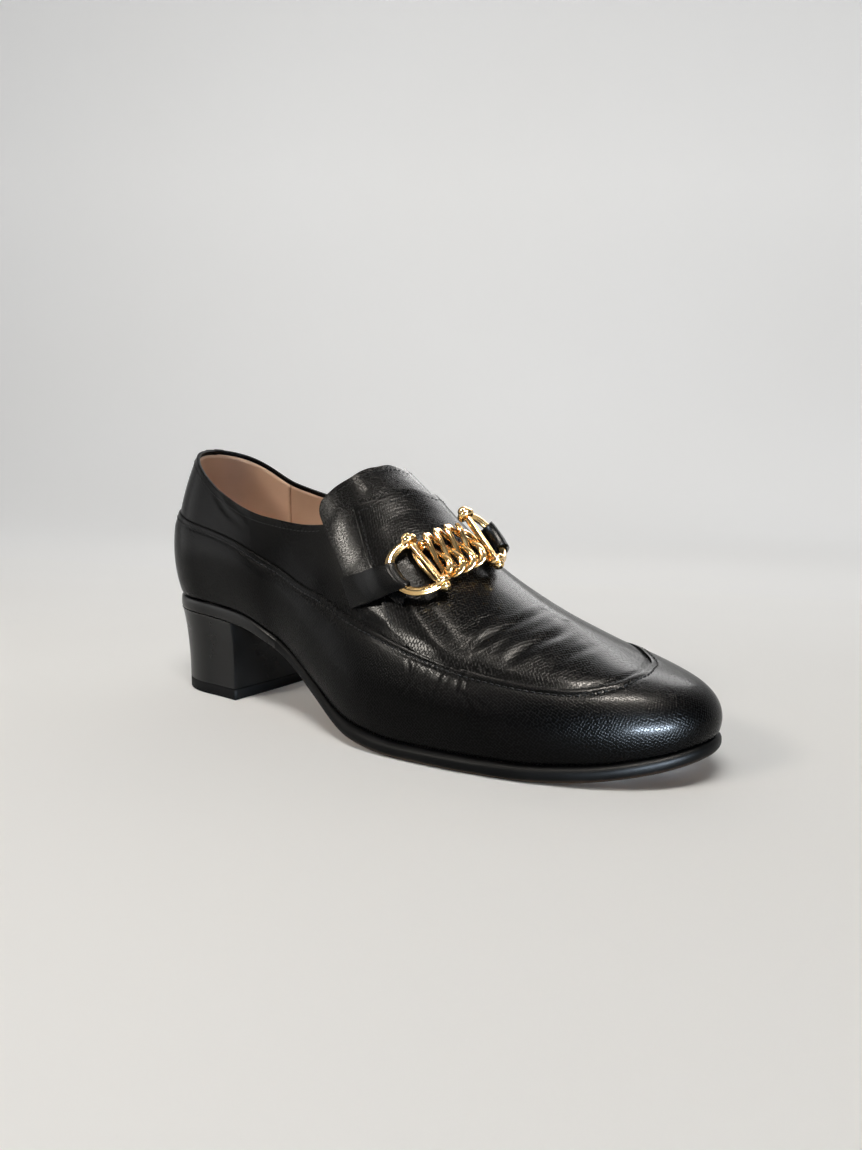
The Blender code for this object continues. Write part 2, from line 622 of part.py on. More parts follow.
def strap_sheet(strap, path, line):
    """Strap points, row by row down its length, near the ring square to it and then along the last."""
    sheet = np.zeros((len(line), STRAP_COLUMNS, 3))
    middle = (len(path) - 1) / 2
    spots = np.linspace(middle - STRAP_REACH, middle + STRAP_REACH, STRAP_COLUMNS)
    steps = np.arange(len(path))
    for c, spot in enumerate(spots):
        hold = np.array([np.interp(spot, steps, path[:, k]) for k in range(3)])
        next_spot = np.array([np.interp(spot + 0.5, steps, path[:, k]) for k in range(3)])
        ring_way = unit(next_spot - hold)
        share = c / (STRAP_COLUMNS - 1)
        at_ring = np.asarray(strap["ring"][0]) * (1 - share) + np.asarray(strap["ring"][1]) * share
        at_seam = np.asarray(strap["seam"][0]) * (1 - share) + np.asarray(strap["seam"][1]) * share
        ends = np.array([at_ring, at_seam])
        ends[:, 0] = ends[:, 0] if strap["side"] < 0 else 2 - ends[:, 0]
        normal = unit(skin(*ends[0], 1.0) - skin(*ends[0], 0.0))
        toward = skin(*ends[1], 0.0) - skin(*ends[0], 0.0)
        normal = unit(normal - ring_way * (normal @ ring_way))
        toward = unit(toward - ring_way * (toward @ ring_way) - normal * (toward @ normal))
        for r, (far, height) in enumerate(line):
            by_ring = hold + toward * far + normal * height
            u, level = ends[0] + (ends[1] - ends[0]) * far / strap["run"][-1][0]
            by_last = skin(u, level, STRAP_LIFT + height)
            blend = ease((far - STRAP_BLEND[0]) / (STRAP_BLEND[1] - STRAP_BLEND[0]))
            sheet[r, c] = by_ring * (1 - blend) + by_last * blend
    return sheet


def build_strap(name, strap, path):
    """Strap sheet folded round the ring's path and run down to the seam."""
    line = strap_line(strap["run"])
    along = np.gradient(line, axis=0)
    square = np.stack([-along[:, 1], along[:, 0]], -1)
    square = square / np.linalg.norm(square, axis=1)[:, None] * STRAP_THICK / 2
    sheets = [strap_sheet(strap, path, flat) for flat in (line, line - square, line + square)]
    make(name, *shell(*sheets, grid_faces(len(line), STRAP_COLUMNS, False)), LEATHER)


for old in list(bpy.data.objects):
    bpy.data.objects.remove(old)
SHOE = bpy.data.collections.new("chain_loafer")
CUTTERS = bpy.data.collections.new("helpers")
CUTTERS.hide_render = True
for group in (SHOE, CUTTERS):
    bpy.context.scene.collection.children.link(group)
ORIGIN = np.array([*shoe_middle(), 0])

build_outsole()
build_heel()
build_upper()
build_insole()
build_saddle()
build_plug()
right_path = build_ring("bit_ring_right", BAR_RIGHT, RING_OUT_RIGHT, -1)
left_path = build_ring("bit_ring_left", BAR_LEFT, RING_OUT_LEFT, 1)
build_links()
build_strap("strap_right", STRAP_RIGHT, right_path)
build_strap("strap_left", STRAP_LEFT, left_path)
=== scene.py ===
"""Looks of the heeled chain loafer: leather panels, seams, lining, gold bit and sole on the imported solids.

Sizes are in millimetres with the back of the heel at x = 0, as in the solids; meshes are made in metres.
"""
import math

import bpy
import numpy as np
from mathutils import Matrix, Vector


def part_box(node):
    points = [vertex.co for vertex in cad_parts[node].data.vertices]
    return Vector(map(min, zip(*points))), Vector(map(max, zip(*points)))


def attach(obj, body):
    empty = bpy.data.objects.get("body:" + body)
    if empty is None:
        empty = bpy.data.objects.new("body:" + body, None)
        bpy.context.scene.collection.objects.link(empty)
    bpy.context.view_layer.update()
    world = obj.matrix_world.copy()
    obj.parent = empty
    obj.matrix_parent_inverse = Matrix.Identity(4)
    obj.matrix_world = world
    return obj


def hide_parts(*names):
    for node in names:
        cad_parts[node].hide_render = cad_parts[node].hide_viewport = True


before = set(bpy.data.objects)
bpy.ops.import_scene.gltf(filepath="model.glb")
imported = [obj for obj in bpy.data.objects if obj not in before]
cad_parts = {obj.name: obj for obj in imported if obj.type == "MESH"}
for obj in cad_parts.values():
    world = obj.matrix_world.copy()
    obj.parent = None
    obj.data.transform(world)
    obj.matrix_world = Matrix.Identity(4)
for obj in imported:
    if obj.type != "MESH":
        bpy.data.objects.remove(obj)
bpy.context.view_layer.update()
MM = 0.001
# step for slopes taken as differences
SMALL = 1e-3

# Sole: underside height along the shoe, thickness, how far it stands out from the upper
SOLE_THICK, SEAT_GAP, GAP = 5.5, 0.42, 0.3
TREAD = dict(x=(0, 30, 60, 85, 110, 135, 158, 200, 222, 242, 258),
             z=(39.5, 37.8, 35, 26.5, 13.5, 2.5, 0, 0, 1.6, 5.2, 9.5))
LIP = dict(x=(0, 60, 100, 150, 258), out=(0.8, 0.8, 1.2, 2.4, 2.4))
# rounded sole edge: set back from the outline, height above the underside
SOLE_EDGE = ((14.0, 0.0), (2.6, 0.0), (1.5, 0.1), (0.7, 0.5), (0.25, 1.1), (0.05, 1.8), (0.0, 2.6),
             (0.05, 3.4), (0.3, 4.1), (0.7, 4.7), (1.3, 5.15), (2.0, 5.4), (3.0, SOLE_THICK), (9.0, SOLE_THICK))
# columns round the sole, parts across its caps; faces lower than this belong to the tread
SOLE_COLUMNS, CAP_PARTS, UNDERSIDE = 240, 8, 0.05
# share of the edge's rounding left at the heel, and the run over which it grows ahead of the breast
HEEL_BEAD, BEAD_OVER = 0.2, 45.0
# behind this place the sole's edge is polished like the heel
COVERED_TO = 84.0

# Heel block and the piece it stands on
BREAST_X, BREAST_BOW = 54.0, 0.6
TOP_PIECE = 5.0
HEEL_EDGE_IN, HEEL_CORNER = 0.15, 0.5
HEEL_POINTS, BREAST_POINTS = 121, 31
# share of the way down, back moved in, width kept
HEEL_TAPER = dict(down=(0.0, 0.06, 0.35, 0.7, 1.0), back_in=(0.0, 0.7, 2.4, 3.6, 4.0),
                  width=(1.0, 0.985, 0.955, 0.945, 0.95))
HEEL_ROWS = 44
# edge set back, share of the thickness
TOP_PIECE_EDGE = ((4.0, 0.0), (0.7, 0.0), (0.25, 0.04), (0.0, 0.14), (0.0, 0.88), (0.3, 0.97), (0.9, 1.0),
                  (4.0, 1.0))

# Last: plan of the feather line, crest and ribs
HEEL_END, TOE_END = 6.5, 251.0
HEEL_SHARE, BALL_SHARE = 0.17, 0.60
HEEL_ROUND, TOE_ROUND = 2.3, 2.1
RIGHT = dict(heel_x=34, heel_w=24.0, waist_x=80, waist_w=26.5, ball_x=147, ball_w=40.5)
LEFT = dict(heel_x=34, heel_w=24.0, waist_x=100, waist_w=19.0, ball_x=170, ball_w=36.0)
TOE_SWING, SWING_START = 2.0, 150.0
CREST_SHARE = (0, HEEL_SHARE, BALL_SHARE, 1)
CREST_AT = (48, 60, 166, 200)
CREST = dict(x=(48, 80, 110, 128, 145, 165, 182, 200),
             y=(0, 1.5, 4, 6, 7, 7, 5, 2.5),
             z=(136, 125, 109, 95, 79, 62, 52.5, 45),
             squareness=(2.1, 2.2, 2.3, 2.3, 2.2, 2.2, 2.2, 2.2),
             bulge=(5.0, 5.0, 4.0, 3.5, 3.0, 3.0, 3.0, 3.0))
BULGE_PEAK, NEAR_CREST, HALF_STEP = 6.75, 0.8, 0.5

# Seam, collar and throat
WALL, GUARD = 1.8, 3.4
SEAM = dict(share=(0, 0.2, 0.32, 0.40, 0.5, 0.6, 0.7, 0.78, 0.84, 0.9, 1.0),
            right=(0.28, 0.245, 0.235, 0.255, 0.33, 0.38, 0.36, 0.365, 0.42, 0.515, 0.60),
            left=(0.28, 0.245, 0.235, 0.255, 0.33, 0.38, 0.43, 0.51, 0.57, 0.60, 0.60))
TOPLINE = dict(x=(5, 20, 45, 75, 100, 110), z=(116, 109, 93, 83, 80, 80.5))
INNER_LIFT, INNER_LIFT_AT, INNER_LIFT_WIDE = 6.0, 75.0, 35.0
THROAT, COLLAR_LOW, COLLAR_LIMIT, HALVINGS = 0.428, 0.3, 0.9, 40
COLLAR_AHEAD = dict(share=(0.0, 0.428, 0.6, 0.8, 1.0), level=(0.45, 0.455, 0.55, 0.58, 0.76))

# Saddle and plug outlines: height runs from the seam (0) to the crest (1)
SADDLE_BACK = dict(height=(0, 0.05, 0.13, 0.19, 0.25, 0.29, 0.33, 0.40, 0.55, 0.72, 0.87, 1.0),
                   share=(0.540, 0.528, 0.489, 0.459, 0.431, 0.416, 0.412, 0.416, 0.424, 0.424, 0.418,
                          0.416))
SADDLE_FRONT = dict(height=(0, 0.17, 0.25, 0.32, 0.40, 0.60, 1.0),
                    share=(0.620, 0.571, 0.537, 0.507, 0.482, 0.485, 0.478))
PLUG_EDGE = dict(share=(0.455, 0.485, 0.515, 0.535, 0.551, 0.60, 0.64, 1.0),
                 height=(0.40, 0.32, 0.25, 0.215, 0.17, 0.02, 0.0, 0.0))
PLUG_BACK = dict(height=(0.40, 0.50, 0.60, 0.75, 1.0), share=(0.457, 0.466, 0.469, 0.464, 0.457))
PLUG_BACK_REACH = 0.06
PLUG_RAMP, PLUG_LIFT = (0.034, 0.06), 1.4

# Panel offsets from the last
LINING_OUT, QUARTER_IN, UNDER_OUT = 0.25, 0.35, 0.8
SADDLE_IN, SADDLE_OUT = 2.0, 3.2
PLUG_IN, PLUG_OUT = 2.2, 3.2
LAP_RISE, LAP_RISE_FROM, LAP_RISE_OVER = 1.1, 0.50, 0.14
LAP_GAP, LAP_THICK, LAP_FULL, LAP_STEP = 0.08, 0.65, 7.0, 0.15
# band and stitched groove beside the mudguard's edge: height or depth, distance from the edge, width
BAND_RISE, BAND_AT, BAND_HALF = 0.20, 1.0, 0.6
STITCH_DIP, STITCH_AT, STITCH_HALF = 0.25, 2.3, 0.5
LAP_LEVEL, EDGE_LEVEL = 0.045, 0.013
# back stay: offset, half width, height of its foot above the seam, columns and rows
STAY_OUT, STAY_HALF, STAY_LOW, STAY_COLUMNS, STAY_ROWS = 2.5, 0.028, 0.006, 25, 40
# stay and collar thread lie this far off the wall; the quarter thins out under the saddle
ON_WALL, THIN_FROM, THIN_OVER = 0.05, 0.004, 0.02
# saddle and plug run on below the seam by this height
BELOW_SEAM = 0.035

# Chain bit
BAR_RIGHT, BAR_LEFT = (154.9, -22.9, 68.8), (164.6, 0.4, 76.6)
BAR_ALONG = (0.76, -0.13, -0.64)
BAR_HALF, BAR_RADIUS, TILT_RIGHT, TILT_LEFT = 12.8, 1.4, 0.0, -12.0
BALL_RADIUS, BALL_STRETCH, EYE_AT, EYE_RADIUS, EYE_HALF = 2.2, 0.9, 11.0, 2.5, (1.375, 0.935)
RING_POINTS, BAR_POINTS, BAR_SIDES, EYE_POINTS, EYE_SIDES, HOLD_POINTS = 65, 9, 20, 40, 14, 25
DEPTH_RIGHT, DEPTH_LEFT, RING_RADIUS, RING_SQUARE = 13.4, 12.4, 1.5, 2.5
# section of the half ring: a raised bead between two shoulders, flat behind
RING_SECTION = ((-1.55, -0.8), (-1.75, -0.3), (-1.7, 0.25), (-1.45, 0.55), (-1.15, 0.66), (-1.02, 0.95),
                (-0.65, 1.32), (0.0, 1.5), (0.65, 1.32), (1.02, 0.95), (1.15, 0.66), (1.45, 0.55),
                (1.7, 0.25), (1.75, -0.3), (1.55, -0.8), (0.8, -1.05), (-0.8, -1.05))
RING_OUT_RIGHT, RING_OUT_LEFT = (-0.55, -0.72, -0.42), (-0.16, 0.98, 0.02)
# flat links: place across the chain, half width and half height; their bands are widest at the top
LINKS = ((-9.6, 3.6, 8.0), (-4.9, 3.6, 9.6), (0.0, 3.6, 9.8), (4.9, 3.6, 9.6), (9.6, 3.6, 8.0))
LINK_THICK, LINK_BAND, LINK_TOP, LINK_FOOT, LINK_TWIST = 0.85, 1.12, 1.0, 0.4, 2.25
# roundness of a link's ends, how sharply its band widens, squareness of its section, points and sides
LINK_ROUND, LINK_PEAK, LINK_SQUARE, LINK_POINTS, LINK_SIDES = 0.62, 4, 2.8, 96, 18
# depth of the end links under the bars, how far before the bar they start down, and the run of that
LINK_UNDER_BAR, UNDER_FROM, UNDER_OVER = 3.4, 4.8, 2.4
CHAIN_HALF = 13.1

# Straps
STRAP_RIGHT = dict(side=-1, ring=((0.533, 0.588), (0.563, 0.543)), seam=((0.492, 0.408), (0.529, 0.376)))
STRAP_LEFT = dict(side=1, ring=((0.519, 0.80), (0.556, 0.79)), seam=((0.492, 0.415), (0.529, 0.39)))
STRAP_THICK, STRAP_ROOM, STRAP_COLUMNS, STRAP_REACH = 1.2, 0.5, 19, 4.0
STRAP_HOLD = RING_RADIUS + STRAP_ROOM + STRAP_THICK / 2
STRAP_TUCK, TUCK_POINTS, STRAP_LIFT, SETTLE_ROUNDS = 5.0, 8, 7.8, 12
STRAP_FOLD, FOLD_POINTS, RUN_POINTS = (-80, -275), 31, 45
# step along the ring's path for its direction; steps in u, level and distance out for slopes
RING_LOOK, SETTLE_STEPS = 0.5, (1e-3, 1e-3, 1e-2)
# height left along the run from the ring to the saddle's edge, and the height it ends at
STRAP_FALL, STRAP_END = dict(way=(0.0, 0.25, 0.5, 0.75, 1.0), kept=(1.0, 0.70, 0.30, 0.08, 0.0)), 4.0

# Camera: angles round the shoe, distance and lens for an upright frame
CAMERA_AZIMUTH, CAMERA_ELEVATION, CAMERA_AWAY = 34.8, 7.3, 323.6
CAMERA_TARGET, CAMERA_LENS = (141.5, 0.0, 60.4), 25.04
CAMERA_SENSOR, CAMERA_NEAR = 36.0, 0.01


# Curves through the tables
def smooth(x, xs, ys, level_ends=False):
    """Smooth curve through a table that adds no waves between its rows; its ends may run out level."""
    xs, ys = np.asarray(xs, float), np.asarray(ys, float)
    x = np.clip(np.asarray(x, float), xs[0], xs[-1])
    step = np.diff(xs)
    rise = np.diff(ys) / step
    total = rise[:-1] + rise[1:]
    same = rise[:-1] * rise[1:] > 0
    slope = np.empty(len(xs))
    slope[1:-1] = np.where(same, 2 * rise[:-1] * rise[1:] / np.where(same, total, 1), 0)
    slope[0], slope[-1] = (0, 0) if level_ends else (rise[0], rise[-1])
    i = np.clip(np.searchsorted(xs, x, side="right") - 1, 0, len(step) - 1)
    t = (x - xs[i]) / step[i]
    start = (1 + 2 * t) * (1 - t) ** 2 * ys[i] + t * (1 - t) ** 2 * step[i] * slope[i]
    end = t * t * (3 - 2 * t) * ys[i + 1] + t * t * (t - 1) * step[i] * slope[i + 1]
    return start + end


def read(table, at, column, level_ends=False):
    """Value of a table's column at a place along its first column."""
    return smooth(at, next(iter(table.values())), table[column], level_ends)


def ease(t):
    t = np.clip(t, 0, 1)
    return t * t * (3 - 2 * t)


def unit(v):
    v = np.asarray(v, float)
    return v / np.linalg.norm(v, axis=-1, keepdims=True)


def tread(x):
    return read(TREAD, x, "z")


def seat(x):
    """Height at which the upper and the insole stand on the sole."""
    return tread(x) + SOLE_THICK + SEAT_GAP


# The last
def round_corner(turn, power):
    """Across and up on a rounded square at an angle round it."""
    reach = (np.abs(np.cos(turn)) ** power + np.abs(np.sin(turn)) ** power) ** (-1 / power)
    return reach * np.cos(turn), reach * np.sin(turn)


def half_plan(share, s):
    """Feather line of one side: x and half width at a share of the way from heel to toe."""
    right_angle = math.pi / 2
    back, side = round_corner(np.clip(share / HEEL_SHARE, 0, 1) * right_angle, HEEL_ROUND)
    toe_turn = np.clip((share - BALL_SHARE) / (1 - BALL_SHARE), 0, 1) * right_angle
    wide, ahead = round_corner(toe_turn, TOE_ROUND)
    middle = np.clip((share - HEEL_SHARE) / (BALL_SHARE - HEEL_SHARE), 0, 1)
    x = s["heel_x"] + (s["ball_x"] - s["heel_x"]) * middle
    to_waist = ease((x - s["heel_x"]) / (s["waist_x"] - s["heel_x"]))
    to_ball = ease((x - s["waist_x"]) / (s["ball_x"] - s["waist_x"]))
    w = s["heel_w"] + (s["waist_w"] - s["heel_w"]) * to_waist + (s["ball_w"] - s["waist_w"]) * to_ball
    x = np.where(share < HEEL_SHARE, s["heel_x"] - (s["heel_x"] - HEEL_END) * back, x)
    w = np.where(share < HEEL_SHARE, s["heel_w"] * side, w)
    x = np.where(share > BALL_SHARE, s["ball_x"] + (TOE_END - s["ball_x"]) * ahead, x)
    w = np.where(share > BALL_SHARE, s["ball_w"] * wide, w)
    return x, w


def to_share(u):
    u = np.mod(u, 2)
    return np.where(u <= 1, u, 2 - u)


def plan(u):
    """Feather line round the shoe: u runs 0 to 1 up the right side and 1 to 2 back down the left."""
    u = np.mod(np.asarray(u, float), 2)
    share = to_share(u)
    right_x, right_w = half_plan(share, RIGHT)
    left_x, left_w = half_plan(share, LEFT)
    x = np.where(u <= 1, right_x, left_x)
    y = np.where(u <= 1, -right_w, left_w)
    y = y + TOE_SWING * np.clip((x - SWING_START) / (TOE_END - SWING_START), 0, None) ** 2
    return x, y


def crest_x(share):
    """Where on the crest a rib ends; level ends let the two sides meet without a ridge."""
    return smooth(share, CREST_SHARE, CREST_AT, True)


def crest_slope(x):
    """Rise of the crest over one millimetre, taken just inside the ends of its table."""
    x = np.clip(x, CREST["x"][0] + HALF_STEP, CREST["x"][-1] - HALF_STEP)
    return read(CREST, x + HALF_STEP, "z") - read(CREST, x - HALF_STEP, "z")


def last_point(u, level):
    """Point on the last: level 0 on the feather line, 1 on the crest, past 1 down the other side."""
    u, level = np.broadcast_arrays(np.asarray(u, float), np.asarray(level, float))
    over = level > 1
    u = np.mod(np.where(over, 2 - u, u), 2)
    level = np.clip(np.where(over, 2 - level, level), 0, 1)
    foot_x, foot_y = plan(u)
    foot_z = seat(foot_x)
    top_x = crest_x(to_share(u))
    top_y = read(CREST, top_x, "y")
    top_z = read(CREST, top_x, "z")
    away, up = round_corner(level * math.pi / 2, read(CREST, top_x, "squareness"))
    reach = np.hypot(top_x - foot_x, top_y - foot_y)
    away = away + read(CREST, top_x, "bulge") / reach * BULGE_PEAK * up * (1 - up) ** 2
    x = top_x + (foot_x - top_x) * away
    y = top_y + (foot_y - top_y) * away
    z = foot_z + (top_z - foot_z) * up + crest_slope(top_x) * (foot_x - top_x) * away * up ** 3
    return np.stack([x, y, z], -1)


def skin_normal(u, level):
    """Outward normal of the last; near the crest the crest's own normal takes over."""
    u, level = np.broadcast_arrays(np.asarray(u, float), np.asarray(level, float))
    close = np.minimum(level, 1 - 2 * SMALL)
    along = last_point(u + SMALL, close) - last_point(u - SMALL, close)
    rise = last_point(u, close + SMALL) - last_point(u, np.clip(close - SMALL, 0, None))
    normal = unit(np.cross(along, rise))
    slope = crest_slope(crest_x(to_share(u)))
    crest = unit(np.stack([-slope, np.zeros_like(slope), np.ones_like(slope)], -1))
    at_crest = ease((level - NEAR_CREST) / (1 - NEAR_CREST))[..., None]
    return unit(normal + (crest - normal) * at_crest)


def skin(u, level, out):
    """Point on the last moved out square to its surface."""
    out = np.broadcast_to(np.asarray(out, float), np.broadcast_shapes(np.shape(u), np.shape(level)))
    return last_point(u, level) + out[..., None] * skin_normal(u, level)


def seam_level(share, side="right"):
    return read(SEAM, share, side, True)


def seam_round(u):
    """Level of the seam round the shoe."""
    share = to_share(u)
    return np.where(np.mod(u, 2) <= 1, seam_level(share), seam_level(share, "left"))


def under_lap(share):
    """Offset of the panels where the mudguard's edge lies on them."""
    return WALL + LAP_RISE * ease((share - LAP_RISE_FROM) / LAP_RISE_OVER)


def collar_level(u):
    """Level at which each rib behind the throat meets the collar line."""
    u = np.asarray(u, float)
    low, high = np.full(u.shape, COLLAR_LOW), np.ones(u.shape)
    for _ in range(HALVINGS):
        mid = (low + high) / 2
        p = last_point(u, mid)
        lift = INNER_LIFT * np.exp(-((p[..., 0] - INNER_LIFT_AT) / INNER_LIFT_WIDE) ** 2) * (u > 1)
        above = p[..., 2] > read(TOPLINE, p[..., 0], "z") + lift
        high = np.where(above, mid, high)
        low = np.where(above, low, mid)
    return low


def rim_level(u):
    """Collar line, carried on ahead of the throat as the row where the rib turns over the foot."""
    share = to_share(u)
    throat_u = np.where(u <= 1, THROAT, 2 - THROAT)
    ahead = read(COLLAR_AHEAD, share, "level")
    ahead = ahead + collar_level(throat_u) - read(COLLAR_AHEAD, THROAT, "level")
    return np.where(share <= THROAT, collar_level(u), np.clip(ahead, 0, COLLAR_LIMIT))


def patch_level(share, height, side="right"):
    """Level at a height between the seam (0) and the crest (1)."""
    low = seam_level(share, side) + EDGE_LEVEL
    return low + (1 - low) * height


def both_sides(share, height):
    """Places and levels of a panel's rows, up the right side and down the left."""
    left = patch_level(share, height, "left")
    u = np.concatenate([share, 2 - share[-2::-1]])
    return u, np.concatenate([patch_level(share, height), left[-2::-1]])


def mirrored(rows):
    """Rows up the right side, then the same rows down the left."""
    return np.concatenate([rows, rows[-2::-1]])


def patch_height(share, level):
    """Height between the seam (0) and the crest (1) at a level."""
    low = seam_level(share) + EDGE_LEVEL
    return (level - low) / (1 - low)


def outline(u, out):
    """Plan points moved out from the feather line."""
    x, y = plan(u)
    ahead, behind = plan(np.asarray(u) + SMALL), plan(np.asarray(u) - SMALL)
    along = unit(np.stack([ahead[0] - behind[0], ahead[1] - behind[1]], -1))
    return x + along[:, 1] * out, y - along[:, 0] * out


def round_loop(count):
    return np.arange(count) * 2 / count


def sole_reach(u):
    """How far the sole's outline stands out from the feather line."""
    return GUARD + read(LIP, plan(u)[0], "out")


# The tip of the sole and its middle across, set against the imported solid, give the shared origin
EDGE_X, EDGE_Y = outline(round_loop(SOLE_COLUMNS), sole_reach(round_loop(SOLE_COLUMNS)))
SOLE_LOW, SOLE_HIGH = (np.array(corner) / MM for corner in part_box("outsole"))
ORIGIN = np.array([EDGE_X.max() - SOLE_HIGH[0],
                   (EDGE_Y.min() + EDGE_Y.max() - SOLE_LOW[1] - SOLE_HIGH[1]) / 2, 0])


# Meshes: decimals at which points are taken as one, leaning line for a ball's rings, width of its poles
SAME_DIGITS, BALL_LEAN, BALL_POLE = 3, (0.3, 0.2, 1.0), 1e-4


def grid_faces(rows, columns, closed, keep=None):
    """Quads of a grid numbered row by row, columns closed into a loop or open."""
    r, c = np.meshgrid(np.arange(rows - 1), np.arange(columns if closed else columns - 1), indexing="ij")
    n = (c + 1) % columns
    faces = np.stack([r * columns + c, r * columns + n, (r + 1) * columns + n, (r + 1) * columns + c], -1)
    chosen = np.ones(r.shape, bool) if keep is None else keep(r, c)
    return faces[chosen]


def surface_uv(points, closed):
    """Distances in metres along the rows and up the columns of a grid."""
    rows = len(points)
    step = np.linalg.norm(np.diff(points[rows // 2], axis=0), axis=-1)
    along = np.concatenate([[0], np.cumsum(step)])
    climb = np.linalg.norm(np.diff(points, axis=0), axis=-1)
    up = np.concatenate([np.zeros((1, points.shape[1])), np.cumsum(climb, axis=0)])
    around = along[-1] + np.linalg.norm(points[rows // 2, -1] - points[rows // 2, 0]) if closed else 0.0
    return np.stack([np.broadcast_to(along, up.shape), up], -1) * MM, around * MM


def add_object(name, points, faces, materials, slot, solid=None, uv=None, slots=None):
    """Mesh object in the shared frame that rides on the shoe and may stand for a solid."""
    mesh = bpy.data.meshes.new(name)
    mesh.from_pydata(((np.asarray(points) - ORIGIN) * MM).tolist(), [], [list(f) for f in faces])
    if uv is not None:
        layer = mesh.uv_layers.new(name="surface")
        layer.uv.foreach_set("vector", np.asarray(uv, np.float32).ravel())
    for material in materials:
        mesh.materials.append(material)
    if slots is not None:
        mesh.polygons.foreach_set("material_index", np.asarray(slots, np.int32))
    mesh.shade_smooth()
    obj = bpy.data.objects.new(name, mesh)
    bpy.context.scene.collection.objects.link(obj)
    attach(obj, "root")
    if solid:
        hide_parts(solid)
    return obj


def shell(name, inner, outer, closed, material, keep=None, bevel=0.3, from_above=False, **more):
    """Closed sheet between two matching grids, its edges rounded; points in one place become one."""
    rows, columns = inner.shape[:2]
    faces = grid_faces(rows, columns, closed, keep)
    uv, around = (outer[..., :2] * MM, 0.0) if from_above else surface_uv(outer, closed)
    uv = uv.reshape(-1, 2)
    rounded = np.round((inner + outer).reshape(-1, 3), SAME_DIGITS)
    _, first, index = np.unique(rounded, axis=0, return_index=True, return_inverse=True)
    index = index.ravel()
    low, high = inner.reshape(-1, 3)[first], outer.reshape(-1, 3)[first]
    count = len(first)
    loops, corner_uv, edges = [], [], {}
    for face in faces:
        ring = [index[i] for i in face]
        kept = [k for k in range(4) if ring[k] != ring[k - 1]]
        if len(kept) < 3:
            continue
        ring_uv = uv[face].copy()
        if around and ring_uv[:, 0].max() - ring_uv[:, 0].min() > around / 2:
            ring_uv[ring_uv[:, 0] < around / 2, 0] += around
        ring, ring_uv = [ring[k] for k in kept], [ring_uv[k] for k in kept]
        for k in range(len(ring)):
            nxt = (k + 1) % len(ring)
            edges[(ring[k], ring[nxt])] = (ring_uv[k], ring_uv[nxt])
        loops.append([i + count for i in ring])
        corner_uv += ring_uv
        loops.append(ring[::-1])
        corner_uv += ring_uv[::-1]
    for (a, b), (uv_a, uv_b) in edges.items():
        if (b, a) not in edges:
            loops.append([a, b, b + count, a + count])
            corner_uv += [uv_a, uv_b, uv_b, uv_a]
    points = np.concatenate([low, high])
    used, renamed = np.unique(np.concatenate(loops), return_inverse=True)
    ends = np.cumsum([len(loop) for loop in loops])[:-1]
    obj = add_object(name, points[used], np.split(renamed, ends), [material], uv=corner_uv, **more)
    if bevel:
        round_edges(obj, bevel)


def round_edges(obj, width, angle=50.0, segments=3):
    edge = obj.modifiers.new("rounded edge", "BEVEL")
    edge.width = width * MM
    edge.segments = segments
    edge.limit_method = "ANGLE"
    edge.angle_limit = math.radians(angle)


def cap(points, start, count, surface):
    """Faces that close a loop straight across, with points between them laid on a surface."""
    rows = [[start]]
    for i in range(1, count // 2):
        right, left = points[start + i], points[start + count - i]
        row = [start + i]
        for t in np.linspace(0, 1, CAP_PARTS + 1)[1:-1]:
            x, y = (right + (left - right) * t)[:2]
            points.append(np.array([x, y, surface(x)]))
            row.append(len(points) - 1)
        rows.append(row + [start + count - i])
    rows.append([start + count // 2])
    faces = []
    for one, two in zip(rows, rows[1:]):
        for k in range(CAP_PARTS):
            a, b = one[min(k, len(one) - 1)], two[min(k, len(two) - 1)]
            c, d = two[min(k + 1, len(two) - 1)], one[min(k + 1, len(one) - 1)]
            faces.append(list(dict.fromkeys([a, b, c, d])))
    return faces


def loft(loops, low, high):
    """Closed body from equal loops that start on the heel centre line, with heights for its caps."""
    count = len(loops[0])
    points = list(np.concatenate(loops))
    faces = [list(f) for f in grid_faces(len(loops), count, True)]
    under = cap(points, 0, count, low)
    over = cap(points, (len(loops) - 1) * count, count, high)
    return np.array(points), faces + under + [f[::-1] for f in over]


def flat_uv(points, faces):
    """Plan position as texture position, for pieces without a grid of their own."""
    points = np.asarray(points)
    return [points[i, :2] * MM for face in faces for i in face]


def sweep(path, side, up, section, band=1.0):
    """Grid of a section carried along a path; side and up say which way it lies, band widens it sideways."""
    across = np.broadcast_to(band, len(path))[:, None] * section[None, :, 0]
    return path[:, None] + across[..., None] * side[:, None] + section[None, :, 1, None] * up[:, None]


def oval(half_wide, half_thick, points, power=2.0):
    """Closed section; a power above 2 gives it flatter faces."""
    wide, thick = round_corner(np.arange(points) * 2 * math.pi / points, power)
    return np.stack([half_wide * wide, half_thick * thick], -1)


def on_line(at, run, rows):
    """Points read off a line at distances along its run."""
    return np.stack([np.interp(at, run, rows[:, k]) for k in range(3)], -1)


def path_frames(path, closed, guide):
    """Side and up vectors square to a path, side kept near a guide direction."""
    ahead = np.roll(path, -1, axis=0) if closed else np.concatenate([path[1:], path[-1:]])
    behind = np.roll(path, 1, axis=0) if closed else np.concatenate([path[:1], path[:-1]])
    along = unit(ahead - behind)
    guide = np.broadcast_to(guide, path.shape)
    side = unit(guide - along * (guide * along).sum(-1, keepdims=True))
    return side, np.cross(along, side)


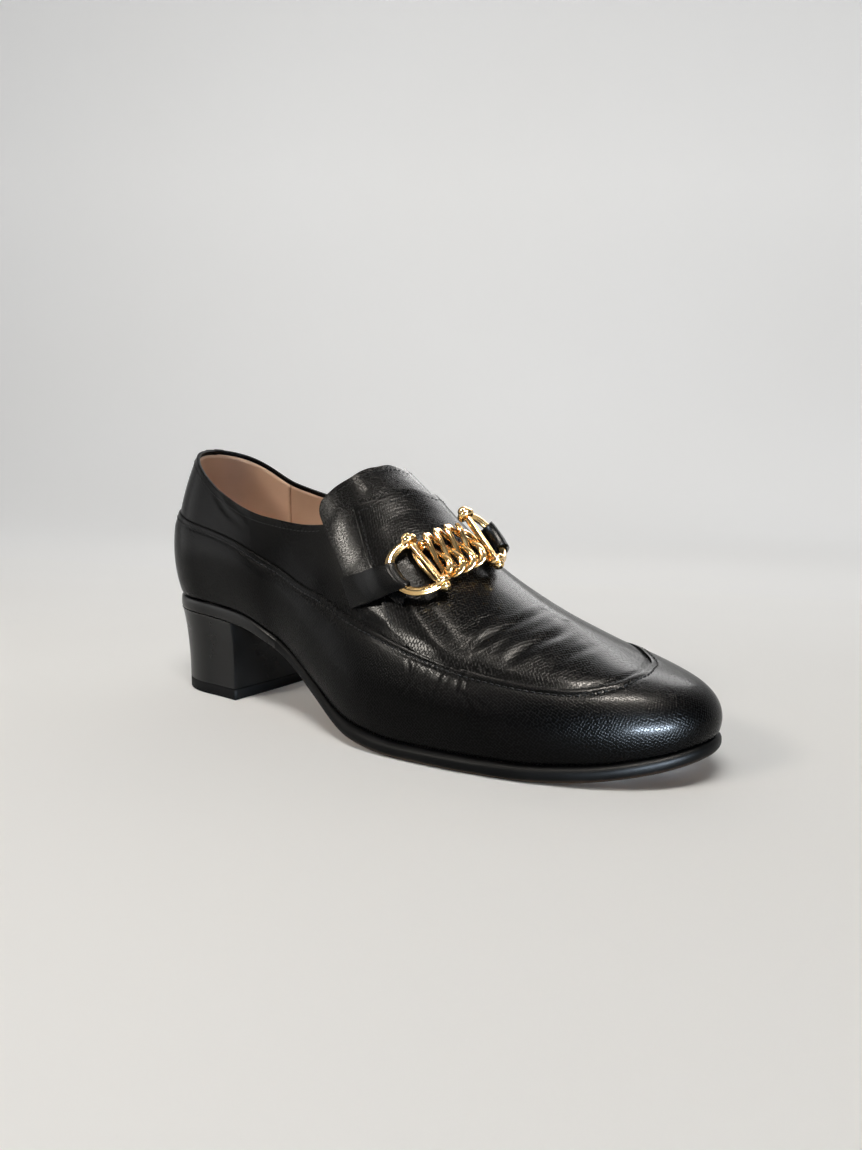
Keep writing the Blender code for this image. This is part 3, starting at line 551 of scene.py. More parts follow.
def tube_parts(path, closed, guide, section, band=1.0):
    """Points and faces of a bar along a path, closed at its ends by fans."""
    side, up = path_frames(path, closed, guide)
    grid = sweep(path, side, up, section, band)
    rows, columns = grid.shape[:2]
    points = grid.reshape(-1, 3)
    faces = [list(f) for f in grid_faces(rows, columns, True)]
    last = (rows - 1) * columns
    if closed:
        faces += [[last + c, last + (c + 1) % columns, (c + 1) % columns, c] for c in range(columns)]
        return points, faces
    points = np.concatenate([points, path[:1], path[-1:]])
    faces += [[(c + 1) % columns, c, rows * columns] for c in range(columns)]
    faces += [[last + c, last + (c + 1) % columns, rows * columns + 1] for c in range(columns)]
    return points, faces


def join_parts(parts):
    points, faces, start = [], [], 0
    for p, f in parts:
        points.append(p)
        faces += [[i + start for i in face] for face in f]
        start += len(p)
    return np.concatenate(points), faces


def ball_parts(centre, axis, radius, stretch=1.0, rings=16, columns=24):
    """Ball, or a dome stretched along an axis."""
    turn = np.linspace(0, math.pi, rings)
    path = np.asarray(centre) - np.cos(turn)[:, None] * unit(axis) * radius * stretch
    across = unit(np.cross(axis, BALL_LEAN))
    up = unit(np.cross(axis, across))
    around = np.arange(columns) * 2 * math.pi / columns
    wide = np.maximum(np.sin(turn), BALL_POLE) * radius
    ring = np.cos(around)[:, None] * across + np.sin(around)[:, None] * up
    points = (path[:, None] + wide[:, None, None] * ring[None]).reshape(-1, 3)
    faces = [list(f) for f in grid_faces(rings, columns, True)]
    last = (rings - 1) * columns
    faces += [list(range(columns))[::-1], list(range(last, last + columns))]
    return points, faces


# Materials
def new_material(name):
    material = bpy.data.materials.new(name)
    material.use_nodes = True
    tree = material.node_tree
    return material, tree, tree.nodes["Principled BSDF"]


def node(tree, kind, inputs=None, **settings):
    """Node with its settings and its inputs, each a value or another node's output."""
    made = tree.nodes.new(kind)
    for key, value in settings.items():
        setattr(made, key, value)
    for key, value in (inputs or {}).items():
        if isinstance(value, bpy.types.NodeSocket):
            tree.links.new(value, made.inputs[key])
        else:
            made.inputs[key].default_value = value
    return made


def ramp(tree, value, stops, blend="LINEAR"):
    """Colour or grey ramp; stops are place and colour or grey level."""
    made = node(tree, "ShaderNodeValToRGB", {"Fac": value})
    made.color_ramp.interpolation = blend
    elements = made.color_ramp.elements
    while len(elements) < len(stops):
        elements.new(0.5)
    for element, (place, grey) in zip(elements, stops):
        element.position = place
        element.color = (*grey, 1) if isinstance(grey, tuple) else (grey, grey, grey, 1)
    return made.outputs["Color"]


def mix(tree, factor, a, b):
    made = node(tree, "ShaderNodeMix", {"Factor": factor}, data_type="RGBA")
    for key, value in ((6, a), (7, b)):
        if isinstance(value, bpy.types.NodeSocket):
            tree.links.new(value, made.inputs[key])
        else:
            made.inputs[key].default_value = (*value, 1)
    return made.outputs[2]


def maths(tree, operation, a, b, c=0.0):
    return node(tree, "ShaderNodeMath", {0: a, 1: b, 2: c}, operation=operation).outputs[0]


def dot(tree, place, way):
    """Distance of a place along a direction."""
    return node(tree, "ShaderNodeVectorMath", {0: place, 1: way}, operation="DOT_PRODUCT").outputs["Value"]


def body_place(tree):
    return node(tree, "ShaderNodeTexCoord").outputs["Object"]


def sheet_place(tree):
    return node(tree, "ShaderNodeUVMap", uv_map="surface").outputs["UV"]


def noise(tree, vector, scale, detail=4.0, **more):
    """Grey noise with a number of grains to the metre."""
    inputs = {"Vector": vector, "Scale": scale, "Detail": detail, **more}
    return node(tree, "ShaderNodeTexNoise", inputs).outputs["Fac"]


def set_bump(tree, shader, height, strength, distance):
    bump = node(tree, "ShaderNodeBump", {"Height": height, "Strength": strength, "Distance": distance})
    tree.links.new(bump.outputs["Normal"], shader.inputs["Normal"])


def roughened(rough, stops):
    """Stops of a ramp, each a change to a roughness."""
    return [(place, rough + change) for place, change in stops]


# Black leather: turn and softness of the printed dots and their edge; pores, folds and patches to the metre;
# what pores and folds add to the height; tones, changes of roughness, polish of the dots' tops
GRAIN_TURN, DOT_SOFT, DOT_EDGE = 0.6, 0.2, ((0.36, 1.0), (0.56, 0.0))
PORES, FOLDS, FOLD_ROUGH, PATCHES = 2600.0, 160.0, 0.62, 28.0
PORE_HIGH, FOLD_HIGH = 0.05, 6.0
LEATHER_TONES = ((0.3, 0.0015), (0.7, 0.0032))
LEATHER_GLOSS, DOT_POLISH = ((0.25, 0.12), (0.75, 0.18)), -0.15


def black_leather(name, grain, depth, rough, wrinkle, loose=0.4, shine=0.06):
    """Black leather with a printed grain of flat-topped dots, finer pores and faint wrinkles."""
    material, tree, shader = new_material(name)
    body = body_place(tree)
    turned = node(tree, "ShaderNodeMapping", {"Vector": sheet_place(tree), "Rotation": (0, 0, GRAIN_TURN)})
    dots = node(tree, "ShaderNodeTexVoronoi", {"Vector": turned.outputs["Vector"], "Scale": 1 / (grain * MM),
                                               "Randomness": loose},
                voronoi_dimensions="2D", feature="SMOOTH_F1")
    dots.inputs["Smoothness"].default_value = DOT_SOFT
    patch = noise(tree, body, PATCHES)
    tops = ramp(tree, dots.outputs["Distance"], DOT_EDGE, "EASE")
    height = maths(tree, "MULTIPLY_ADD", noise(tree, body, PORES, 3.0), PORE_HIGH, tops)
    folds = noise(tree, body, FOLDS, 5.0, Roughness=FOLD_ROUGH)
    height = maths(tree, "MULTIPLY_ADD", folds, wrinkle * FOLD_HIGH, height)
    set_bump(tree, shader, height, 1.0, depth * MM)
    tree.links.new(ramp(tree, patch, LEATHER_TONES), shader.inputs["Base Color"])
    gloss = ramp(tree, patch, roughened(rough, LEATHER_GLOSS))
    tree.links.new(maths(tree, "MULTIPLY_ADD", tops, DOT_POLISH, gloss), shader.inputs["Roughness"])
    shader.inputs["Specular IOR Level"].default_value = shine
    return material


# Lining: patches and pores to the metre, bump strength and height, shine
LINING_PATCHES, LINING_PORES, LINING_BUMP, LINING_SHINE = 45.0, 1500.0, (0.25, 0.0003), 0.08


def lining_leather(name, tones, rough=0.62):
    """Matt tan leather, darker in patches."""
    material, tree, shader = new_material(name)
    body = body_place(tree)
    colour = ramp(tree, noise(tree, body, LINING_PATCHES, 5.0), ((0.3, tones[0]), (0.7, tones[1])))
    tree.links.new(colour, shader.inputs["Base Color"])
    set_bump(tree, shader, noise(tree, body, LINING_PORES), *LINING_BUMP)
    shader.inputs["Roughness"].default_value = rough
    shader.inputs["Specular IOR Level"].default_value = LINING_SHINE
    return material


# Smooth black: patches to the metre, changes of roughness, bump height; the rubbed line's raggedness, height
# and fade, and where along the sole it starts to show
BLACK_PATCHES, BLACK_GLOSS, BLACK_BUMP = 60.0, ((0.3, -0.06), (0.7, 0.08)), 0.0002
RUB_RAGGED, RUB_SCALE, RUB_FADE = -0.0012, 500.0, ((0.0, 1.0), (0.55, 0.0))
WALK_SCALE, WALK_FROM, WALK_FADE = 8.0, -0.6, ((0.3, 0.0), (0.6, 0.8))


def worn_black(name, rough, wear=None, scale=900.0, depth=0.25, tones=(0.003, 0.006), shine=0.06):
    """Smooth black with fine grit; wear is the colour that shows where the edge is rubbed."""
    material, tree, shader = new_material(name)
    body = body_place(tree)
    patch = noise(tree, body, BLACK_PATCHES, 5.0)
    colour = ramp(tree, patch, ((0.3, tones[0]), (0.7, tones[1])))
    if wear:
        place = node(tree, "ShaderNodeSeparateXYZ", {"Vector": sheet_place(tree)}).outputs
        ragged = maths(tree, "ADD", place["Y"], maths(tree, "MULTIPLY", patch, RUB_RAGGED))
        rubbed = ramp(tree, maths(tree, "MULTIPLY", ragged, RUB_SCALE), RUB_FADE)
        walked = ramp(tree, maths(tree, "MULTIPLY_ADD", place["X"], WALK_SCALE, WALK_FROM), WALK_FADE)
        colour = mix(tree, maths(tree, "MULTIPLY", rubbed, walked), colour, wear)
    tree.links.new(colour, shader.inputs["Base Color"])
    tree.links.new(ramp(tree, patch, roughened(rough, BLACK_GLOSS)), shader.inputs["Roughness"])
    set_bump(tree, shader, noise(tree, body, scale), depth, BLACK_BUMP)
    shader.inputs["Specular IOR Level"].default_value = shine
    return material


# Gold: haze to the metre, roughness and tones
GOLD_HAZE, GOLD_ROUGH = 220.0, ((0.3, 0.12), (0.75, 0.21))
GOLD_TONES = ((0.3, (0.66, 0.43, 0.175)), (0.7, (0.76, 0.52, 0.24)))


def gold_metal(name):
    """Polished gold plate with hardly any haze."""
    material, tree, shader = new_material(name)
    haze = noise(tree, body_place(tree), GOLD_HAZE)
    shader.inputs["Metallic"].default_value = 1.0
    tree.links.new(ramp(tree, haze, GOLD_ROUGH), shader.inputs["Roughness"])
    tree.links.new(ramp(tree, haze, GOLD_TONES), shader.inputs["Base Color"])
    return material


UPPER_LEATHER = black_leather("upper leather", 0.9, 0.032, 0.19, wrinkle=0.10)
SADDLE_LEATHER = black_leather("saddle leather", 0.75, 0.04, 0.17, wrinkle=0.35, loose=0.8, shine=0.08)
STRAP_LEATHER = black_leather("strap leather", 0.5, 0.01, 0.24, wrinkle=0.3, shine=0.11)
THREAD = worn_black("black thread", 0.42, scale=4000.0, depth=0.5, tones=(0.012, 0.022))
LINING = lining_leather("front lining leather", ((0.53, 0.35, 0.24), (0.60, 0.405, 0.285)))
HEEL_LINING = lining_leather("heel lining leather", ((0.64, 0.43, 0.29), (0.74, 0.51, 0.36)))
SOLE_EDGE_PAINT = worn_black("painted sole edge", 0.42, wear=(0.085, 0.062, 0.045))
SOLE_UNDER = lining_leather("sole leather", ((0.20, 0.115, 0.06), (0.30, 0.18, 0.10)), 0.55)
HEEL_COVER = worn_black("heel cover leather", 0.30, depth=0.08, shine=0.2)
HEEL_RUBBER = worn_black("heel rubber", 0.6, depth=0.4)
GOLD = gold_metal("polished gold")


# Upper panels
def half_columns(rear, front):
    """Shares from heel to toe, then the same back down the other side."""
    half = np.concatenate([np.linspace(0, THROAT, rear), np.linspace(THROAT, 1, front + 1)[1:]])
    return np.concatenate([half, 2 - half[-2:0:-1]])


# the front of the outer side, where it creases, has more columns
GUARD_COLUMNS, GUARD_ROWS = 660, 44
DENSE_AT, DENSE_HALF, DENSE_GAIN, DENSE_STEPS = 0.66, 0.07, 1.6, 4001
TUCK_IN, TUCK_OVER, STITCH_RAISED = 0.7, 3.0, 0.08


def dense_columns(count):
    """Places round the shoe, closer together where the outer side creases."""
    fine = np.linspace(0, 2, DENSE_STEPS)
    weight = 1 + DENSE_GAIN * np.exp(-((fine - DENSE_AT) / DENSE_HALF) ** 4)
    run = np.concatenate([[0], np.cumsum((weight[1:] + weight[:-1]) / 2)])
    return np.interp(np.arange(count) / count, run / run[-1], fine)


def build_mudguard():
    """Lower panel all round, from the sole to the seam, where its thinned edge lies on the panels above."""
    u = dense_columns(GUARD_COLUMNS)
    seam = seam_round(u)
    climb = np.linspace(0, 1, GUARD_ROWS)
    level = climb[:, None] * seam
    grid_u = np.broadcast_to(u, level.shape)
    base = last_point(grid_u, level)
    down = np.linalg.norm(np.diff(base, axis=0), axis=-1)
    from_edge = np.concatenate([np.cumsum(down[::-1], axis=0)[::-1], np.zeros((1, len(u)))])
    from_sole = np.concatenate([np.zeros((1, len(u))), np.cumsum(down, axis=0)])
    lap = under_lap(to_share(u)) + LAP_GAP
    full = np.maximum(GUARD, lap + LAP_THICK + LAP_STEP)
    out = lap + LAP_THICK + (full - lap - LAP_THICK) * ease(from_edge / LAP_FULL)
    out = out - TUCK_IN * (1 - ease(from_sole / TUCK_OVER))
    out = out + BAND_RISE * np.exp(-((from_edge - BAND_AT) / BAND_HALF) ** 2)
    out = out - STITCH_DIP * np.exp(-((from_edge - STITCH_AT) / STITCH_HALF) ** 2)
    out = out + relief(grid_u, level, GUARD_CREASES)
    outer = skin(grid_u, level, out)
    inner = skin(grid_u, level, np.broadcast_to(lap, level.shape))
    for sheet in (inner, outer):
        sheet[..., 2] = np.maximum(sheet[..., 2], seat(sheet[..., 0]))
    shell("mudguard", inner, outer, True, UPPER_LEATHER, solid="upper", slot="upper_leather")
    spot = np.array([np.interp(-STITCH_AT, -from_edge[:, c], level[:, c]) for c in range(len(u))])
    height = np.array([np.interp(-STITCH_AT, -from_edge[:, c], out[:, c]) for c in range(len(u))])
    stitch_row("mudguard_stitches", skin(u, spot, height + STITCH_RAISED), skin_normal(u, spot), True,
               WIDE_STITCH)


# stitch: place along its length, thickness left there, rise of its middle
STITCH_SHAPE = dict(at=(-0.5, -0.42, -0.22, 0.0, 0.22, 0.42, 0.5),
                    size=(0.25, 0.7, 0.95, 1.0, 0.95, 0.7, 0.25),
                    rise=(-0.25, -0.1, 0.05, 0.1, 0.05, -0.1, -0.25))
STITCH_SIDES, STITCH_LOOK = 8, 0.4
# spacing, length and radius of the stitches
WIDE_STITCH, FINE_STITCH = (2.4, 1.8, 0.28), (2.0, 1.5, 0.2)


def stitch_row(name, points, normals, closed, size=FINE_STITCH, slot="upper_leather"):
    """Row of sewn stitches along a line, each a short thread with rounded ends."""
    spacing, length, radius = size
    if closed:
        points, normals = np.concatenate([points, points[:1]]), np.concatenate([normals, normals[:1]])
    run = np.concatenate([[0], np.cumsum(np.linalg.norm(np.diff(points, axis=0), axis=-1))])
    count = int(run[-1] / spacing)
    at = (np.arange(count) + 0.5) * run[-1] / count
    along = unit(on_line(at + STITCH_LOOK, run, points) - on_line(at - STITCH_LOOK, run, points))
    up = unit(on_line(at, run, normals))
    side = unit(np.cross(up, along))
    around = np.arange(STITCH_SIDES) * 2 * math.pi / STITCH_SIDES
    place, thick, rise = (np.array(STITCH_SHAPE[key])[:, None] for key in ("at", "size", "rise"))
    shares = ((place * length, along), (rise + thick * np.sin(around) * radius, up),
              (thick * np.cos(around) * radius, side))
    part = on_line(at, run, points)[:, None, None]
    for amount, way in shares:
        part = part + amount[None, ..., None] * way[:, None, None]
    rings = len(place)
    one = [list(f) for f in grid_faces(rings, STITCH_SIDES, True)]
    one += [list(range(STITCH_SIDES))[::-1], list(range((rings - 1) * STITCH_SIDES, rings * STITCH_SIDES))]
    faces = [[i + n * rings * STITCH_SIDES for i in f] for n in range(count) for f in one]
    add_object(name, part.reshape(-1, 3), faces, [THREAD], slot)


QUARTER_COLUMNS, LAP_ROWS, MID_ROWS, TOP_ROWS = (115, 120), 4, 28, 8
COLLAR_POINTS, COLLAR_STITCH_IN, ROUNDING = 200, 0.022, 1e-9


def rim_rows(u, first, rows, top):
    """Levels from a first row up to the collar line and on to the crest."""
    rim = rim_level(u)
    low = [first + (rim - first) * t for t in np.linspace(0, 1, rows)]
    high = [rim + (1 - rim) * t for t in np.linspace(0, 1, top + 1)[1:]]
    return np.array(low + high)


def below_throat(u, rim_row):
    """Test for the faces that are there: all below the collar line, above it only ahead of the throat."""
    share = to_share(u)
    both = np.minimum(share, np.roll(share, -1))

    def keep(row, column):
        return (row < rim_row) | (both[column] >= THROAT - ROUNDING)

    return keep


def build_quarter():
    """Upper panel behind the saddle with the collar edge, carried on thin under saddle and plug."""
    u = half_columns(*QUARTER_COLUMNS)
    share = to_share(u)
    level = rim_rows(u, seam_round(u) - LAP_LEVEL, MID_ROWS + LAP_ROWS, TOP_ROWS)
    grid_u = np.broadcast_to(u, level.shape)
    height = np.clip(patch_height(share, level), 0, 1)
    back = read(SADDLE_BACK, height, "share")
    out = WALL + (UNDER_OUT - WALL) * ease((share - back - THIN_FROM) / THIN_OVER)
    out = out + relief(grid_u, level, QUARTER_CREASES)
    shell("quarter", skin(grid_u, level, QUARTER_IN), skin(grid_u, level, out), True, UPPER_LEATHER,
          below_throat(u, MID_ROWS + LAP_ROWS - 1), slot="upper_leather")
    stay = np.linspace(-STAY_HALF, STAY_HALF, STAY_COLUMNS)
    low, high = seam_level(to_share(stay)) + STAY_LOW, rim_level(np.mod(stay, 2))
    level = low + (high - low) * np.linspace(0, 1, STAY_ROWS)[:, None]
    grid_u = np.broadcast_to(stay, level.shape)
    shell("back_stay", skin(grid_u, level, WALL + ON_WALL), skin(grid_u, level, STAY_OUT), False,
          UPPER_LEATHER, slot="upper_leather")
    rear = np.linspace(2 - THROAT, 2 + THROAT, COLLAR_POINTS)
    spot = rim_level(np.mod(rear, 2)) - COLLAR_STITCH_IN
    stitch_row("collar_stitches", skin(rear, spot, WALL + ON_WALL), skin_normal(rear, spot), False)


LINING_COLUMNS, LINING_ROWS, LINING_TOP = (60, 60), 34, 8
# the lining stops short of the collar; the heel's own lining lies over it back to a seam on each side
LINING_SHORT, SHORT_OVER = 0.014, 0.03
HEEL_LINING_SHARE, HEEL_LINING_COLUMNS, HEEL_LINING_THICK, HEEL_LINING_LOW = 0.19, 61, 0.5, 0.02
HEEL_LINING_GAP, LINING_OFF_SOLE = 0.03, 0.1


def build_lining():
    """Tan lining inside the upper, with a second piece round the heel."""
    u = half_columns(*LINING_COLUMNS)
    level = rim_rows(u, np.zeros(len(u)), LINING_ROWS, LINING_TOP)
    short = LINING_SHORT * ease((THROAT - to_share(u)) / SHORT_OVER) / rim_level(u)
    level[:LINING_ROWS] *= 1 - short
    grid_u = np.broadcast_to(u, level.shape)
    lining_sheet("lining", skin(grid_u, level, 0.0), skin(grid_u, level, LINING_OUT), True, LINING,
                 below_throat(u, LINING_ROWS - 1))
    rear = np.linspace(2 - HEEL_LINING_SHARE, 2 + HEEL_LINING_SHARE, HEEL_LINING_COLUMNS)
    top = rim_level(np.mod(rear, 2)) - LINING_SHORT
    level = HEEL_LINING_LOW + (top - HEEL_LINING_LOW) * np.linspace(0, 1, LINING_ROWS)[:, None]
    grid_u = np.broadcast_to(rear, level.shape)
    lining_sheet("heel_lining", skin(grid_u, level, -HEEL_LINING_THICK), skin(grid_u, level, -HEEL_LINING_GAP),
                 False, HEEL_LINING)


def lining_sheet(name, inner, outer, closed, material, keep=None):
    """Sheet of lining kept above the sole."""
    for sheet in (inner, outer):
        sheet[..., 2] = np.maximum(sheet[..., 2], seat(sheet[..., 0]) + LINING_OFF_SOLE)
    shell(name, inner, outer, closed, material, keep, bevel=0, slot="lining_leather")


# Creases of the outer side: line as share and level from end to end, half width, depth, height of the ridges
# beside it
PLUG_CREASES = (
    (((0.68, 0.43), (0.69, 0.50), (0.71, 0.61), (0.74, 0.76), (0.785, 0.94)), 1.8, 0.36, 0.16),
    (((0.72, 0.41), (0.735, 0.51), (0.76, 0.62), (0.80, 0.74), (0.87, 0.94)), 2.0, 0.48, 0.22),
    (((0.88, 0.76), (0.80, 0.58), (0.765, 0.45)), 1.7, 0.18, 0.10),
    (((0.73, 0.64), (0.715, 0.54), (0.705, 0.45)), 1.1, 0.14, 0.08),
    (((0.685, 0.61), (0.678, 0.51), (0.67, 0.43)), 1.1, 0.16, 0.08),
    (((0.70, 0.71), (0.68, 0.60), (0.667, 0.51)), 1.2, 0.16, 0.08))
GUARD_CREASES = (
    (((0.670, 0.35), (0.666, 0.27), (0.663, 0.20), (0.664, 0.12)), 0.75, 0.15, 0.08),
    (((0.686, 0.35), (0.686, 0.28), (0.696, 0.22), (0.703, 0.10)), 0.75, 0.17, 0.09),
    (((0.622, 0.36), (0.633, 0.30), (0.635, 0.21)), 0.70, 0.09, 0.05),
    (((0.641, 0.34), (0.639, 0.27), (0.628, 0.18)), 0.70, 0.10, 0.05),
    (((0.652, 0.33), (0.653, 0.25), (0.659, 0.15)), 0.75, 0.10, 0.06),
    (((0.680, 0.27), (0.701, 0.25), (0.722, 0.19)), 0.65, 0.08, 0.04))
QUARTER_CREASES = (
    (((0.213, 0.386), (0.256, 0.341), (0.300, 0.321)), 1.2, 0.22, 0.12),
    (((0.197, 0.361), (0.241, 0.313), (0.289, 0.289)), 1.3, 0.20, 0.10),
    (((0.370, 0.350), (0.400, 0.360), (0.424, 0.375)), 1.2, 0.22, 0.12),
    (((0.385, 0.330), (0.415, 0.345), (0.436, 0.362)), 1.2, 0.20, 0.10))
# points along a crease for each row of its line
CREASE_STEPS = 12


def relief(u, level, creases):
    """Height change of a panel from its creases, each a soft trough with low ridges."""
    total = np.zeros(np.broadcast_shapes(np.shape(u), np.shape(level)))
    spots = last_point(u, level)
    for line, wide, deep, ridge in creases:
        line = np.array(line)
        way = np.linspace(0, len(line) - 1, CREASE_STEPS * (len(line) - 1) + 1)
        share = smooth(way, np.arange(len(line)), line[:, 0])
        rise = smooth(way, np.arange(len(line)), line[:, 1])
        path = last_point(share, rise)
        near = np.full(total.shape, np.inf)
        along = np.zeros(total.shape)
        for k, point in enumerate(path):
            far = np.linalg.norm(spots - point, axis=-1)
            along = np.where(far < near, k / (len(path) - 1), along)
            near = np.minimum(near, far)
        fade = np.sqrt(np.clip(4 * along * (1 - along), 0, 1))
        beside = ridge * np.exp(-((near - 2 * wide) / wide) ** 2)
        total += fade * (beside - deep * np.exp(-(near / wide) ** 2))
    return total


SADDLE_ROWS, SADDLE_COLUMNS, SADDLE_CROWD = 90, 44, 0.8
# under the mudguard: height over which a panel sinks, height below the seam where that starts, thickness
SINK_OVER, SINK_FROM, SINK_THICK = 0.07, 0.01, 0.9
# stitches along the saddle's back edge: lowest height, distance in from the edge, depth, points
SADDLE_STITCH_LOW, SADDLE_STITCH_IN, SADDLE_STITCH_DOWN, SADDLE_STITCH_POINTS = 0.03, 0.007, 0.06, 160


def sink_at_seam(share, height, inside, outside):
    """Sheet offsets that sink under the mudguard at the seam."""
    up = ease((height + SINK_FROM) / SINK_OVER)
    high = under_lap(share)
    low = high - SINK_THICK
    return low + (inside - low) * up, high + (outside - high) * up


def build_saddle():
    """Band across the instep under the plug; its back edge is the free tongue."""
    height = np.concatenate([[-BELOW_SEAM], np.linspace(0, 1, SADDLE_ROWS) ** SADDLE_CROWD])
    back = read(SADDLE_BACK, height, "share")
    front = read(SADDLE_FRONT, height, "share")
    share = back[:, None] + (front - back)[:, None] * np.linspace(0, 1, SADDLE_COLUMNS)
    height = np.broadcast_to(height[:, None], share.shape)
    u, level = both_sides(share, height)
    low, high = (mirrored(rows) for rows in sink_at_seam(share, height, SADDLE_IN, SADDLE_OUT))
    shell("saddle", skin(u, level, low), skin(u, level, high), False, SADDLE_LEATHER, solid="saddle_tongue",
          slot="saddle_leather")
    rise = mirrored(np.linspace(SADDLE_STITCH_LOW, 1, SADDLE_STITCH_POINTS))
    inset = read(SADDLE_BACK, rise, "share") + SADDLE_STITCH_IN
    edge_u = np.where(np.arange(len(rise)) < SADDLE_STITCH_POINTS, inset, 2 - inset)
    spot = patch_level(inset, rise)
    thread = skin(edge_u, spot, SADDLE_OUT - SADDLE_STITCH_DOWN)
    stitch_row("saddle_stitches", thread, skin_normal(edge_u, spot), False, slot="saddle_leather")


PLUG_COLUMNS, PLUG_ROWS = 190, 66
# share at which the plug's edge goes under the mudguard, and the run of that
PLUG_TUCK, PLUG_TUCK_OVER = 0.60, 0.04
# stitches beside the plug's free edge: where they start, and how far in from the back and the lower edge
PLUG_STITCHED, PLUG_STITCH_IN, PLUG_STITCH_UP = 0.595, 0.008, 0.03
# their lowest height above the back's, points along the lower edge and the back
PLUG_STITCH_LOW, PLUG_STITCH_POINTS = 0.05, (60, 120)


def plug_lift(share, height):
    """Height the plug gains where it lies over the saddle."""
    front = read(SADDLE_FRONT, height, "share")
    return PLUG_LIFT * (1 - ease((share - front - PLUG_RAMP[0]) / PLUG_RAMP[1]))


def build_plug():
    """Top panel from the throat to the toe, tucked under the mudguard and lifted over the saddle."""
    first = PLUG_BACK["share"][0]
    share = np.linspace(first, 1, PLUG_COLUMNS)
    edge = read(PLUG_EDGE, share, "height")
    tucked = ease((share - PLUG_TUCK) / PLUG_TUCK_OVER)
    edge = edge - BELOW_SEAM * tucked
    height = edge + (1 - edge) * np.linspace(0, 1, PLUG_ROWS)[:, None]
    shaped = read(PLUG_BACK, height, "share") - first
    share = share + shaped * (1 - ease((share - first) / PLUG_BACK_REACH))
    lift = plug_lift(share, height)
    low, high = sink_at_seam(share, height, PLUG_IN, PLUG_OUT)
    low = mirrored(low + (PLUG_IN - low) * (1 - tucked) + lift)
    high = mirrored(high + (PLUG_OUT - high) * (1 - tucked) + lift)
    u, level = both_sides(share, height)
    dents = relief(u, level, PLUG_CREASES)
    shell("plug", skin(u, level, low + dents), skin(u, level, high + dents), False, UPPER_LEATHER,
          from_above=True, solid="vamp_plug", slot="plug_leather")
    along = np.linspace(PLUG_STITCHED, first + PLUG_STITCH_IN, PLUG_STITCH_POINTS[0])
    up = np.linspace(PLUG_BACK["height"][0] + PLUG_STITCH_LOW, 1, PLUG_STITCH_POINTS[1])
    share = np.concatenate([along, read(PLUG_BACK, up, "share") + PLUG_STITCH_IN])
    height = np.concatenate([read(PLUG_EDGE, along, "height") + PLUG_STITCH_UP, up])
    out = mirrored(PLUG_OUT + plug_lift(share, height))
    u, level = both_sides(share, height)
    stitch_row("plug_stitches", skin(u, level, out), skin_normal(u, level), False, slot="plug_leather")


# Chain bit
def bit_frame():
    """Chain direction, bar direction and outward normal."""
    across = unit(np.subtract(BAR_LEFT, BAR_RIGHT))
    along = np.asarray(BAR_ALONG, float)
    along = unit(along - across * (along @ across))
    return across, along, np.cross(along, across)


def ring_path(centre, out, along, depth, points):
    """Centre line of a half ring, from eye to eye."""
    turn = np.linspace(0, math.pi, points)
    end, deep = round_corner(np.minimum(turn, math.pi - turn), RING_SQUARE)
    end = np.where(turn > math.pi / 2, end, -end) * EYE_AT
    return np.asarray(centre) + end[:, None] * along + (deep * depth)[:, None] * out


def ring_frame(out, tilt):
    """Direction of a bar and the way its ring hangs, square to each other."""
    _, along, normal = bit_frame()
    tilt = math.radians(tilt)
    bar = unit(along * math.cos(tilt) + normal * math.sin(tilt))
    out = unit(np.asarray(out) - bar * (np.asarray(out) @ bar))
    return bar, out


def build_ring(name, solid, centre, out, tilt, depth):
    """Half ring with an eye at each end, a bar through the eyes and a ball on each end of the bar."""
    bar, out = ring_frame(out, tilt)
    centre = np.asarray(centre)
    face = np.cross(bar, out)
    face = face * np.sign(face @ bit_frame()[2])
    path = ring_path(centre, out, bar, depth, RING_POINTS)
    section = np.array(RING_SECTION)
    parts = [tube_parts(path, False, face, np.stack([section[:, 1], section[:, 0]], -1))]
    rod = centre + np.linspace(-1, 1, BAR_POINTS)[:, None] * bar * BAR_HALF
    parts.append(tube_parts(rod, False, face, oval(BAR_RADIUS, BAR_RADIUS, BAR_SIDES)))
    turn = np.arange(EYE_POINTS) * 2 * math.pi / EYE_POINTS
    for sign in (-1, 1):
        hub = centre + sign * bar * EYE_AT
        eye = hub + EYE_RADIUS * (np.cos(turn)[:, None] * out + np.sin(turn)[:, None] * face)
        parts.append(tube_parts(eye, True, bar, oval(*EYE_HALF, EYE_SIDES)))
        parts.append(ball_parts(centre + sign * bar * BAR_HALF, bar * sign, BALL_RADIUS, BALL_STRETCH))
    points, faces = join_parts(parts)
    add_object(name, points, faces, [GOLD], solid=solid, slot="gold_metal")
    return ring_path(centre, out, bar, depth, HOLD_POINTS)


